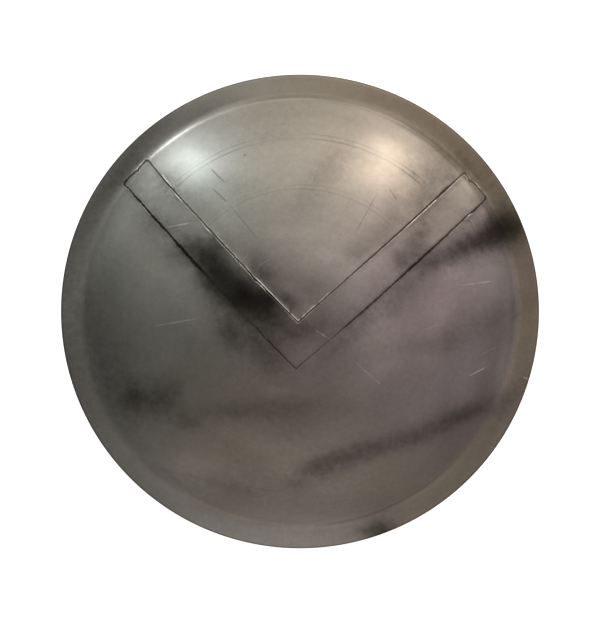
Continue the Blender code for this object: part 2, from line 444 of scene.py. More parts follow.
# Share of the line's length; in millimetres the shift outwards, half the width, and
# the burr's height outside and inside; from 0 to 1 how dark, and how dirty beside it
LINE_CUTS = {
    "inner_left": [
        (0.00, -1.0, 1.1, 0.60, 0.10, 0.7, 0.1), (0.05, -1.3, 1.0, 0.62, 0.10, 0.55, 0.1),
        (0.10, -1.4, 1.1, 0.72, 0.04, 0.65, 0.1), (0.16, -1.4, 1.1, 0.64, 0.03, 0.65, 0.1),
        (0.20, -1.5, 1.1, 0.74, 0.04, 0.7, 0.1), (0.235, -1.0, 0.9, 0.90, 0.60, 0.4, 0.0),
        (0.26, -1.6, 1.2, 0.60, 0.30, 0.8, 0.0), (0.285, -2.8, 1.5, 0.26, 0.05, 1.0, 0.2),
        (0.32, -0.9, 1.3, 0.22, 0.18, 0.9, 0.0), (0.40, -0.7, 1.3, 0.15, 0.12, 0.9, 0.1),
        (0.50, -0.5, 1.2, 0.16, 0.15, 0.8, 0.0), (0.56, 0.5, 1.4, 0.05, 0.03, 0.7, 0.2),
        (0.595, -0.5, 1.6, 0.04, 0.30, 0.7, 0.1), (0.64, 0.3, 1.4, 0.04, 0.03, 0.65, 0.2),
        (0.75, 0.0, 1.3, 0.03, 0.05, 0.6, 0.2), (0.785, -0.1, 1.3, 0.03, 0.36, 0.6, 0.1),
        (0.82, 0.2, 1.4, 0.04, 0.02, 0.6, 0.3), (0.865, -0.5, 1.7, 0.50, 0.03, 0.7, 0.3),
        (0.91, 0.3, 1.5, 0.02, 0.02, 0.65, 0.3),
    ],
    "left_end": [
        (0.00, 1.2, 1.5, 0.05, 0.03, 0.65, 0.3), (0.14, 1.2, 1.5, 0.20, 0.03, 0.65, 0.3),
        (0.33, 0.6, 1.6, 0.60, 0.03, 0.65, 0.2), (0.40, -0.8, 1.9, 0.66, 0.16, 0.7, 0.2),
        (0.48, 0.7, 1.5, 0.24, 0.03, 0.65, 0.3), (0.72, 0.8, 1.7, 0.05, 0.03, 0.8, 0.4),
    ],
    "outer_left": [
        (0.00, 0.0, 1.7, 0.03, 0.03, 0.8, 0.4), (0.03, -1.8, 1.7, 0.03, 0.03, 0.8, 0.4),
        (0.08, -1.8, 2.4, 0.03, 0.06, 1.0, 0.6), (0.13, -1.9, 1.7, 0.03, 0.04, 1.0, 0.3),
        (0.18, -1.8, 2.7, 0.03, 0.03, 1.0, 0.7), (0.30, -2.0, 2.0, 0.03, 0.03, 1.0, 0.5),
        (0.34, -1.2, 2.8, 0.03, 0.03, 1.0, 0.9), (0.44, -0.8, 2.6, 0.02, 0.02, 0.9, 0.9),
        (0.50, -0.6, 1.8, 0.0, 0.0, 0.28, 0.5), (0.56, -0.4, 1.5, 0.0, 0.0, 0.12, 0.3),
        (0.72, 0.6, 1.4, 0.0, 0.0, 0.12, 0.2), (0.82, 1.4, 1.5, 0.02, 0.02, 0.6, 0.4),
        (0.88, 1.7, 1.6, 0.02, 0.02, 0.8, 0.5),
    ],
    "outer_right": [
        (0.00, 1.4, 1.6, 0.02, 0.02, 0.8, 0.4), (0.08, 1.2, 1.4, 0.02, 0.02, 0.6, 0.3),
        (0.18, 1.3, 1.3, 0.02, 0.02, 0.5, 0.2), (0.29, 0.9, 1.7, 0.02, 0.02, 0.9, 0.5),
        (0.40, 0.2, 1.9, 0.02, 0.02, 0.9, 0.6), (0.50, -0.8, 1.7, 0.02, 0.02, 0.9, 0.4),
        (0.62, -1.5, 2.3, 0.02, 0.02, 1.0, 0.7), (0.75, -1.3, 2.1, 0.02, 0.02, 1.0, 0.6),
        (0.87, -1.7, 1.7, 0.03, 0.02, 0.9, 0.4), (0.905, -1.9, 1.7, 0.24, 0.03, 0.9, 0.3),
        (0.925, 0.3, 2.5, 0.03, 0.03, 1.0, 0.5),
    ],
    "right_end": [
        (0.00, 0.4, 1.7, 0.03, 0.03, 0.7, 0.4), (0.13, 0.6, 1.4, 0.22, 0.03, 0.4, 0.3),
        (0.24, 0.8, 1.4, 0.03, 0.03, 0.3, 0.3), (0.38, 0.8, 1.4, 0.34, 0.03, 0.35, 0.2),
        (0.52, 0.8, 1.4, 0.12, 0.03, 0.35, 0.3), (0.62, -0.5, 1.4, 0.03, 0.03, 0.35, 0.3),
        (0.77, -2.6, 2.0, 0.12, 0.03, 0.5, 0.4), (0.88, -1.0, 1.5, 0.10, 0.20, 0.3, 0.2),
    ],
    "inner_right": [
        (0.00, 1.2, 1.5, 0.03, 0.06, 0.45, 0.3), (0.05, 1.6, 1.4, 0.05, 0.20, 0.8, 0.3),
        (0.13, 2.2, 2.2, 0.03, 0.16, 0.9, 0.7), (0.20, 2.5, 1.4, 0.03, 0.30, 0.9, 0.3),
        (0.26, 2.4, 1.4, 0.03, 0.20, 0.9, 0.3), (0.31, 2.4, 1.4, 0.03, 0.30, 0.9, 0.3),
        (0.37, 2.3, 1.5, 0.03, 0.10, 0.9, 0.4), (0.60, 1.8, 1.6, 0.06, 0.06, 0.9, 0.4),
        (0.78, 0.6, 1.4, 0.06, 0.03, 0.9, 0.3), (0.86, 0.1, 1.4, 0.30, 0.03, 0.9, 0.2),
        (0.89, 0.0, 1.4, 0.06, 0.03, 0.9, 0.2), (0.92, -0.2, 1.4, 0.62, 0.06, 0.9, 0.1),
        (0.945, -0.4, 1.4, 0.16, 0.06, 0.9, 0.1), (0.975, -0.7, 1.4, 0.54, 0.06, 0.9, 0.1),
    ],
}
# How much more or less ragged each line is
RAGGED = {"left_end": 1.5, "right_end": 1.5, "outer_left": 1.3, "outer_right": 1.1,
          "inner_left": 0.7, "inner_right": 0.7}
TURNED_CORNERS = (1, 2, 4, 5)
TURN_RADIUS = 7 * MILLIMETRE

# %% How the graver slipped between those places
# Each waver's size, the length in millimetres over which it changes, and its seed
SLIPS = ((0.6, 14, 1.0), (0.5, 4, 2.0))
WIDENINGS = ((0.4, 5, 3.0),)
BITES_OUT = ((1.0, 10, 6.0), (0.9, 4, 7.0))
BITES_IN = ((1.0, 10, 8.0), (0.9, 4, 9.0))
STEADY_CORNER = 5 * MILLIMETRE


def wavers(place, listed):
    """Smooth noise around 0 at this place of the face, summed over the listed wavers."""
    total = 0.0
    for size, scale, seed in listed:
        spot = place / (scale * MILLIMETRE)
        total += size * noise.noise(Vector((spot.x, spot.y, seed)))
    return total


def ease(low, high, value):
    """Rises smoothly from 0 to 1 as the value goes from low to high."""
    share = min(max((value - low) / (high - low), 0.0), 1.0)
    return share * share * (3 - 2 * share)


# %% The cut at any place of the outline
def planned_cut(index, share):
    """The cut at this share of a line, eased between the places that its list gives."""
    listed = [Cut(*row) for row in LINE_CUTS[LINE_NAMES[index]]]
    corner_cut = Cut(*LINE_CUTS[LINE_NAMES[(index + 1) % len(LINES)]][0])
    listed.append(corner_cut._replace(share=1.0))
    for before, after in zip(listed, listed[1:]):
        if share <= after.share:
            between = ease(before.share, after.share, share)
            return Cut(*(low + (high - low) * between for low, high in zip(before, after)))
    return listed[-1]


def cut_inside(index, share):
    """How far inside the line the graver ran where it was turned at the chevron's ends."""
    along = [LINES[index].length * part for at, part in ((index, share), (index + 1, 1 - share))
             if at in TURNED_CORNERS]
    short = max(0.0, TURN_RADIUS / math.sqrt(2) - min(along))
    return TURN_RADIUS - math.sqrt(TURN_RADIUS ** 2 - short ** 2)


def roughened_cut(index, share):
    """The planned cut with the graver's unevenness, in metres."""
    line = LINES[index]
    cut = planned_cut(index, share)
    place = line.start + line.along * (line.length * share)
    from_corner = line.length * min(share, 1 - share)
    free = ease(0.0, STEADY_CORNER, from_corner) * RAGGED[line.name]
    shift = cut.shift + free * wavers(place, SLIPS)
    half = cut.half * (1 + free * wavers(place, WIDENINGS))
    bite_out, bite_in = (max(0.0, 1 + wavers(place, bites)) for bites in (BITES_OUT, BITES_IN))
    return cut._replace(shift=shift * MILLIMETRE - cut_inside(index, share),
                        half=half * MILLIMETRE,
                        burr_out=cut.burr_out * bite_out * MILLIMETRE,
                        burr_in=cut.burr_in * bite_in * MILLIMETRE)


# %% The strip's section, from its inner edge to its outer one
STATION = 1.2 * MILLIMETRE
GROOVE_DEPTH = 0.6 * MILLIMETRE
ACROSS_GROOVE = (-1.0, -0.7, -0.35, 0.0, 0.35, 0.7, 1.0)
# Steps out from the groove's lip, each with its share of the burr's height, of the
# burr's painted highlight and of the dirt
BEYOND_LIP = ((0.6 * MILLIMETRE, 1.0, 1.0, 1.0), (1.5 * MILLIMETRE, 0.6, 0.7, 0.6),
              (2.5 * MILLIMETRE, 0.0, 0.0, 0.25))
FULL_BURR = 0.36 * MILLIMETRE
STRIP_INSIDE = 9.4 * MILLIMETRE
STRIP_EDGE = 10.4 * MILLIMETRE


def strip_section(cut):
    """Places beside the line, each with its height and its gouge, burr highlight and dirt marks.
    """
    points = []
    for across in ACROSS_GROOVE:
        deep = (1 - abs(across) ** 3) * cut.dark
        points.append((cut.shift + across * cut.half, -GROOVE_DEPTH * deep, deep, 0.0, cut.dirt))
    for side, burr in ((-1, cut.burr_in), (1, cut.burr_out)):
        lip = cut.shift + side * cut.half
        bright = min(1.0, burr / FULL_BURR)
        points += [(lip + side * out, high * burr, 0.0, shine * bright, soil * cut.dirt)
                   for out, high, shine, soil in BEYOND_LIP]
        points += [(side * flat, 0.0, 0.0, 0.0, 0.0) for flat in (STRIP_INSIDE, STRIP_EDGE)]
    return sorted(points)


# %% Lay the strip along the outline
def add_marks(piece, *names):
    """Numbers kept with each corner of the piece, all 0 to begin with."""
    for name in names:
        piece.data.attributes.new(name, "FLOAT", "POINT")
    return [piece.data.attributes[name].data for name in names]


stations = []
for index, line in enumerate(LINES):
    steps = round(line.length / STATION)
    stations += [(index, step / steps) for step in range(steps)]
stations.append((0, 0.0))
COLUMNS = len(strip_section(roughened_cut(0, 0.0)))

bpy.ops.mesh.primitive_grid_add(x_subdivisions=COLUMNS - 1, y_subdivisions=len(stations) - 1,
                                size=1.0)
strip = bpy.context.active_object
marks = add_marks(strip, "gouge", "burr", "dirt")
for row, (index, share) in enumerate(stations):
    section_points = strip_section(roughened_cut(index, share))
    for column, (beside, height, *kept) in enumerate(section_points):
        point = row * COLUMNS + column
        spot = LINES[index].spot(share, beside)
        strip.data.vertices[point].co = (spot.x, spot.y, face_height(spot.length) + height)
        for mark, value in zip(marks, kept):
            mark[point].value = value
shape = start_editing(strip)
bpy.ops.mesh.select_all(action="SELECT")
bpy.ops.mesh.remove_doubles(threshold=SAME_PLACE)
stop_editing()
print("strip of", len(strip.data.polygons), "faces in", len(stations) - 1, "rows")

# %% [markdown]
# The gap on each side of the strip is filled with triangles. Its edges are laid flat
# for that and set back after it, so that the fill works as on a drawing.

# %% Join the strip to the bowl and fill the gaps beside it
select_only(shield, strip)
bpy.ops.object.join()
shape = start_editing(shield)


def lane_side(edge):
    """Which side of the outline an open edge lies on: -1 inside, 1 outside, 0 neither."""
    middle = (edge.verts[0].co + edge.verts[1].co).xy / 2
    if edge.is_boundary:
        for line in LINES:
            beside = line.beside(middle)
            if beside is not None and abs(beside) < 2 * LANE:
                return 1 if beside > 0 else -1
    return 0


for side in (-1, 1):
    edges = pick(shape, lambda edge: lane_side(edge) == side, "edges")
    heights = {point: point.co.z for edge in edges for point in edge.verts}
    for point in heights:
        point.co.z = 0.0
    bpy.ops.mesh.fill(use_beauty=True)
    for point, height in heights.items():
        point.co.z = height
open_edges = sum(1 for edge in shape.edges if not edge.is_manifold)
stop_editing()
turn_outwards(shield)
print("closed again:", len(shield.data.polygons), "faces,", open_edges, "open edges")

# %% [markdown]
# ## Settling the face
#
# The grid that closed the crown is flat between its corners, so every point of the
# middle is set back on the true surface. The crown is also pressed in by half of a
# millimetre, as a spun bowl often is, which leaves room for the burrs at the chevron's
# point within the shield's depth. A burr that would still stand above it is rubbed level.

# %% Set the crown's points
CROWN_PRESS = 0.5 * MILLIMETRE
PRESS_FULL = 40 * MILLIMETRE
PRESS_END = 130 * MILLIMETRE
BELOW_FACE = 0.7 * SHEET


def pressed(radius):
    """How far the face is pressed in at this radius."""
    return CROWN_PRESS * (1 - ease(PRESS_FULL, PRESS_END, radius))


def is_behind(point):
    """Whether this corner belongs to the sheet's back."""
    return point.co.z < face_height(radius_of(point.co)) - BELOW_FACE


def is_in_strip(place):
    sides = [line.beside(place) for line in LINES]
    return any(beside is not None and abs(beside) < STRIP_EDGE for beside in sides)


for point in shield.data.vertices:
    radius = radius_of(point.co)
    if radius < GRID_RADIUS and not is_in_strip(point.co.xy):
        point.co.z = back_height(radius) if is_behind(point) else face_height(radius)
    if radius < PRESS_END:
        point.co.z = min(point.co.z - pressed(radius), DEPTH)
print("crown at", round(max(point.co.z for point in shield.data.vertices), 5), "m")

# %% Shade it smooth, but keep the lips of the groove crisp
LIP_ANGLE = math.radians(50.0)
select_only(shield)
bpy.ops.object.shade_smooth_by_angle(angle=LIP_ANGLE, keep_sharp_edges=False)
print("shield has", sum(len(face.vertices) - 2 for face in shield.data.polygons), "triangles")

# %% [markdown]
# ## The arm band
#
# Behind the crown a bent steel strip takes the forearm. It would be cut from flat bar,
# bent round a former and welded on by its two feet. Here a flat grid primitive is the
# blank. Its rows are bent to the path of the strip, and its feet follow the hollow of
# the shell. Solidify then gives it its thickness and Bevel breaks its edges.

# %% The path that the strip is bent to
BAND_WIDTH = band_high.x - band_low.x
BAND_SHEET = 2.0 * MILLIMETRE
BAND_FOOT = 50 * MILLIMETRE
BAND_BEND = 8 * MILLIMETRE
BAND_CORNER = 14 * MILLIMETRE
BAND_LEG = band_high.y - BAND_FOOT - BAND_BEND
WELD_GAP = 0.3 * MILLIMETRE
CORNER_STEPS = 9
FOOT_STEPS = 6
BEND_STEPS = 8
LEG_STEPS = 2
ARCH_STEPS = 20


def band_half_width(from_end):
    if from_end >= BAND_CORNER:
        return BAND_WIDTH / 2
    short = BAND_CORNER - from_end
    return BAND_WIDTH / 2 - BAND_CORNER + math.sqrt(BAND_CORNER ** 2 - short ** 2)


def band_half_path():
    """Place along Y, height, half width, and how far the row follows the shell."""
    path = []
    bend = BAND_LEG + BAND_BEND
    corner_cuts = [BAND_CORNER * (1 - math.cos(QUARTER_TURN * share))
                   for share in (0, *shares(CORNER_STEPS))]
    foot_cuts = [BAND_CORNER + (BAND_FOOT - BAND_CORNER) * share
                 for share in shares(FOOT_STEPS)]
    for from_end in corner_cuts + foot_cuts:
        place = bend + BAND_FOOT - from_end
        path.append((-place, back_height(place) - WELD_GAP, band_half_width(from_end), 1.0))
    bend_top = back_height(bend) - WELD_GAP
    for share in shares(BEND_STEPS):
        turn = QUARTER_TURN * share
        path.append((-bend + BAND_BEND * math.sin(turn),
                     bend_top - BAND_BEND * (1 - math.cos(turn)), BAND_WIDTH / 2,
                     math.cos(turn)))
    arch_centre = band_low.z + BAND_SHEET + BAND_LEG
    leg_top = bend_top - BAND_BEND
    for share in shares(LEG_STEPS):
        path.append((-BAND_LEG, leg_top + (arch_centre - leg_top) * share, BAND_WIDTH / 2, 0.0))
    for share in shares(ARCH_STEPS):
        turn = QUARTER_TURN * share
        path.append((-BAND_LEG * math.cos(turn), arch_centre - BAND_LEG * math.sin(turn),
                     BAND_WIDTH / 2, 0.0))
    return path


half_path = band_half_path()
band_path = half_path + [(-place, *rest) for place, *rest in half_path[-2::-1]]
print("the strip is bent in", len(band_path) - 1, "rows")

# %% Bend the blank, give it its thickness and break its edges
BAND_COLUMNS = 12
EDGE_BREAK = 0.5 * MILLIMETRE
EDGE_ANGLE = math.radians(40.0)


def use_modifier(piece, kind, **settings):
    """Adds a modifier with these settings and applies it at once."""
    select_only(piece)
    modifier = piece.modifiers.new(kind.lower(), kind)
    for setting, value in settings.items():
        setattr(modifier, setting, value)
    bpy.ops.object.modifier_apply(modifier=modifier.name)


bpy.ops.mesh.primitive_grid_add(x_subdivisions=BAND_COLUMNS,
                                y_subdivisions=len(band_path) - 1, size=1.0)
arm_strap = bpy.context.active_object
arm_strap.name = "bent_arm_band"
for row, (place, height, half_width, follow) in enumerate(band_path):
    for column in range(BAND_COLUMNS + 1):
        across = half_width * (2 * column / BAND_COLUMNS - 1)
        fall = back_height(math.hypot(across, place)) - back_height(abs(place))
        point = arm_strap.data.vertices[row * (BAND_COLUMNS + 1) + column]
        point.co = (across, place, height + follow * fall)
use_modifier(arm_strap, "SOLIDIFY", thickness=BAND_SHEET, offset=-1.0)
use_modifier(arm_strap, "BEVEL", width=EDGE_BREAK, segments=2, limit_method="ANGLE",
             angle_limit=EDGE_ANGLE)
bpy.ops.object.shade_smooth_by_angle(angle=EDGE_ANGLE)
print("arm band", [round(value, 4) for value in arm_strap.dimensions])

# %% [markdown]
# ## The hand grip
#
# Near the rim a bent bar is held in the fist. The smith would bend a round bar at both
# ends and weld a small pad under each. Half of it is built from the pad down: a circle
# is extruded to the pad's thickness, inset and drawn into the bar, spun round the bend
# and extruded to the middle. Mirror makes the other half.

# %% The pad and the neck of one end
GRIP_REACH = -(grip_low.x + grip_high.x) / 2
GRIP_BAR = 12 * MILLIMETRE
GRIP_PAD = grip_high.x - grip_low.x
PAD_SHEET = 2.5 * MILLIMETRE
GRIP_NECK = 6 * MILLIMETRE
NECK_FLARE = 2 * MILLIMETRE
GRIP_BEND = 16 * MILLIMETRE
GRIP_LEG = grip_high.y - GRIP_PAD / 2
BAR_HEIGHT = grip_low.z + GRIP_BAR / 2
GRIP_SIDES = 32
NECK_STEPS = 4
pad_top = back_height(math.hypot(GRIP_REACH, GRIP_LEG)) - WELD_GAP


def pull_down(depth):
    bpy.ops.mesh.extrude_region_move(TRANSFORM_OT_translate={"value": (0, 0, -depth)})


def draw_in(share):
    bpy.ops.transform.resize(value=(share, share, 1.0),
                             center_override=(-GRIP_REACH, -GRIP_LEG, 0.0))


bpy.ops.mesh.primitive_circle_add(vertices=GRIP_SIDES, radius=GRIP_PAD / 2, fill_type="NGON",
                                  location=(-GRIP_REACH, -GRIP_LEG, pad_top))
hand_bar = bpy.context.active_object
hand_bar.name = "bent_hand_grip"
bpy.ops.object.transform_apply(location=True)
shape = start_editing(hand_bar)
bpy.ops.mesh.select_all(action="SELECT")
pull_down(PAD_SHEET)
bpy.ops.mesh.extrude_region_move()
draw_in((GRIP_BAR / 2 + NECK_FLARE) / (GRIP_PAD / 2))
shape = bmesh.from_edit_mesh(hand_bar.data)
for point in shape.verts:
    point.co.z += back_height(radius_of(point.co)) - WELD_GAP - pad_top
for step in range(NECK_STEPS):
    wide = GRIP_BAR / 2 + NECK_FLARE * (1 - step / NECK_STEPS) ** 2
    narrow = GRIP_BAR / 2 + NECK_FLARE * (1 - (step + 1) / NECK_STEPS) ** 2
    pull_down(GRIP_NECK / NECK_STEPS)
    draw_in(narrow / wide)
    shape = bmesh.from_edit_mesh(hand_bar.data)
    level = pad_top - PAD_SHEET - GRIP_NECK * (step + 1) / NECK_STEPS
    still_sloped = 1 - 1 / (NECK_STEPS - step)
    for point in (point for point in shape.verts if point.select):
        point.co.z = level + (point.co.z - level) * still_sloped
print("neck ends", round(GRIP_NECK / MILLIMETRE, 1), "mm below the pad")

# %% The bend, half the bar, and the mirrored half
GRIP_BEND_STEPS = 10
MIRROR_MERGE = 0.1 * MILLIMETRE
pull_down(pad_top - PAD_SHEET - GRIP_NECK - BAR_HEIGHT - GRIP_BEND)
bpy.ops.mesh.spin(steps=GRIP_BEND_STEPS, angle=QUARTER_TURN, axis=(-1, 0, 0),
                  center=(-GRIP_REACH, -GRIP_LEG + GRIP_BEND, BAR_HEIGHT + GRIP_BEND))
bpy.ops.mesh.extrude_region_move(
    TRANSFORM_OT_translate={"value": (0, GRIP_LEG - GRIP_BEND, 0)})
bpy.ops.mesh.delete(type="ONLY_FACE")
stop_editing()
use_modifier(hand_bar, "MIRROR", use_axis=(False, True, False), use_clip=True,
             merge_threshold=MIRROR_MERGE)
turn_outwards(hand_bar)
use_modifier(hand_bar, "BEVEL", width=EDGE_BREAK, segments=2, limit_method="ANGLE",
             angle_limit=EDGE_ANGLE)
bpy.ops.object.shade_smooth_by_angle(angle=EDGE_ANGLE)
print("hand grip", [round(value, 4) for value in hand_bar.dimensions],
      "lowest", round(min(point.co.z for point in hand_bar.data.vertices), 4))

# %% [markdown]
# ## The welds
#
# Nothing shows on the shield's face, so the fittings are welded from behind. A weld
# bead is a row of small round ripples, one for each dab of the rod. One ripple is
# modelled, and each bead is a row of copies, laid along the edge that it holds.

# %% One ripple
RIPPLE_LONG = 2.3 * MILLIMETRE
RIPPLE_WIDE = 2.9 * MILLIMETRE
RIPPLE_HIGH = 1.5 * MILLIMETRE
RIPPLE_PITCH = 1.9 * MILLIMETRE
RIPPLE_UNEVEN = 0.18
UNEVEN_SCALE = 700.0

bpy.ops.mesh.primitive_uv_sphere_add(segments=10, ring_count=6, radius=1.0)
ripple = bpy.context.active_object
bpy.ops.object.shade_smooth()
ripple_mesh = ripple.data
bpy.data.objects.remove(ripple)


def lay_bead(name, path):
    """A bead of ripples along the path, a list of places below the shell's back."""
    ripples = []
    for index, (place, following) in enumerate(zip(path, path[1:])):
        along = (following - place).normalized()
        sideways = along.cross(Vector((0, 0, 1))).normalized()
        uneven = 1 + RIPPLE_UNEVEN * noise.noise(place * UNEVEN_SCALE)
        turn = Matrix((along * RIPPLE_LONG * uneven, sideways * RIPPLE_WIDE * uneven,
                       sideways.cross(along) * RIPPLE_HIGH)).transposed().to_4x4()
        made = bpy.data.objects.new(f"{name}_{index}", ripple_mesh.copy())
        made.data.transform(Matrix.Translation(place) @ turn)
        bpy.context.scene.collection.objects.link(made)
        ripples.append(made)
    select_only(*ripples)
    bpy.ops.object.join()
    bead = bpy.context.active_object
    bead.name = name
    turn_outwards(bead)
    return bead


def under_back(spots):
    """These places, given as seen from above, just below the shell's back."""
    return [Vector((spot.x, spot.y, back_height(spot.length) - WELD_GAP)) for spot in spots]


def along_back(start, end):
    """Places a ripple's pitch apart, from start to end, on the shell's back."""
    count = round((end - start).length / RIPPLE_PITCH)
    return under_back(start.lerp(end, share) for share in (0, *shares(count)))


# %% The beads along the strap's feet and round the grip's pads
END_BEAD = 34 * MILLIMETRE
SIDE_BEAD = 24 * MILLIMETRE
BEAD_OUT = 0.8 * MILLIMETRE
beads = []
for side, word in ((-1, "near"), (1, "far")):
    end = side * (band_high.y + BEAD_OUT)
    beads.append(lay_bead(f"strap_weld_{word}_end", along_back(
        Vector((-END_BEAD / 2, end)), Vector((END_BEAD / 2, end)))))
    middle = side * (band_high.y - BAND_FOOT / 2)
    for hand, hand_word in ((-1, "left"), (1, "right")):
        edge = hand * (BAND_WIDTH / 2 + BEAD_OUT)
        beads.append(lay_bead(f"strap_weld_{word}_{hand_word}", along_back(
            Vector((edge, middle - SIDE_BEAD / 2)), Vector((edge, middle + SIDE_BEAD / 2)))))
    reach = GRIP_PAD / 2 + BEAD_OUT
    count = round(FULL_TURN * reach / RIPPLE_PITCH)
    pad_middle = Vector((-GRIP_REACH, side * GRIP_LEG))
    ring = [pad_middle + reach * Vector((math.cos(FULL_TURN * share), math.sin(FULL_TURN * share)))
            for share in (0, *shares(count))]
    beads.append(lay_bead(f"grip_weld_{word}", under_back(ring)))
print(len(beads), "beads,", sum(len(bead.data.polygons) for bead in beads), "faces")

# %% [markdown]
# ## Soot, painted shade, rubbed places, painted highlights and painted reflections
#
# Oily soot lies on the steel in soft smears. The blackest one stops sharply at the
# gouged line, where the burr held it back. Many of the other dark smears are painted
# shade. Between the smears the steel was rubbed paler, and some of the paler places are
# painted highlights. The violet, olive and greenish tints are painted reflections of
# the room. All of this is painted as numbers on the corners of the face, dab by dab,
# because it follows this one face and not any pattern. A dab is given by the pixel of
# the photograph that it lies on, half its length and width in pixels, how far it is
# turned, and how strong it is.

# %% From a pixel of the photograph to the face
OUTLINE_MIDDLE = (299.39, 310.92)
PIXEL = 1.884 * MILLIMETRE
RAY_STEPS = 40


def on_face(column, row):
    """The point of the face that shows at this pixel, seen from above."""
    ray = (view_right * (column - OUTLINE_MIDDLE[0]) / FOCAL_PIXELS
           - view_up * (row - OUTLINE_MIDDLE[1]) / FOCAL_PIXELS - view_back)
    reach = CAMERA_DISTANCE
    for _ in range(RAY_STEPS):
        spot = CAMERA_AIM + view_back * CAMERA_DISTANCE + ray * reach
        reach += spot.z - face_height(radius_of(spot))
    return spot.xy


print("the crown's pixel lies at", [round(value, 4) for value in on_face(299.4, 321.9)])
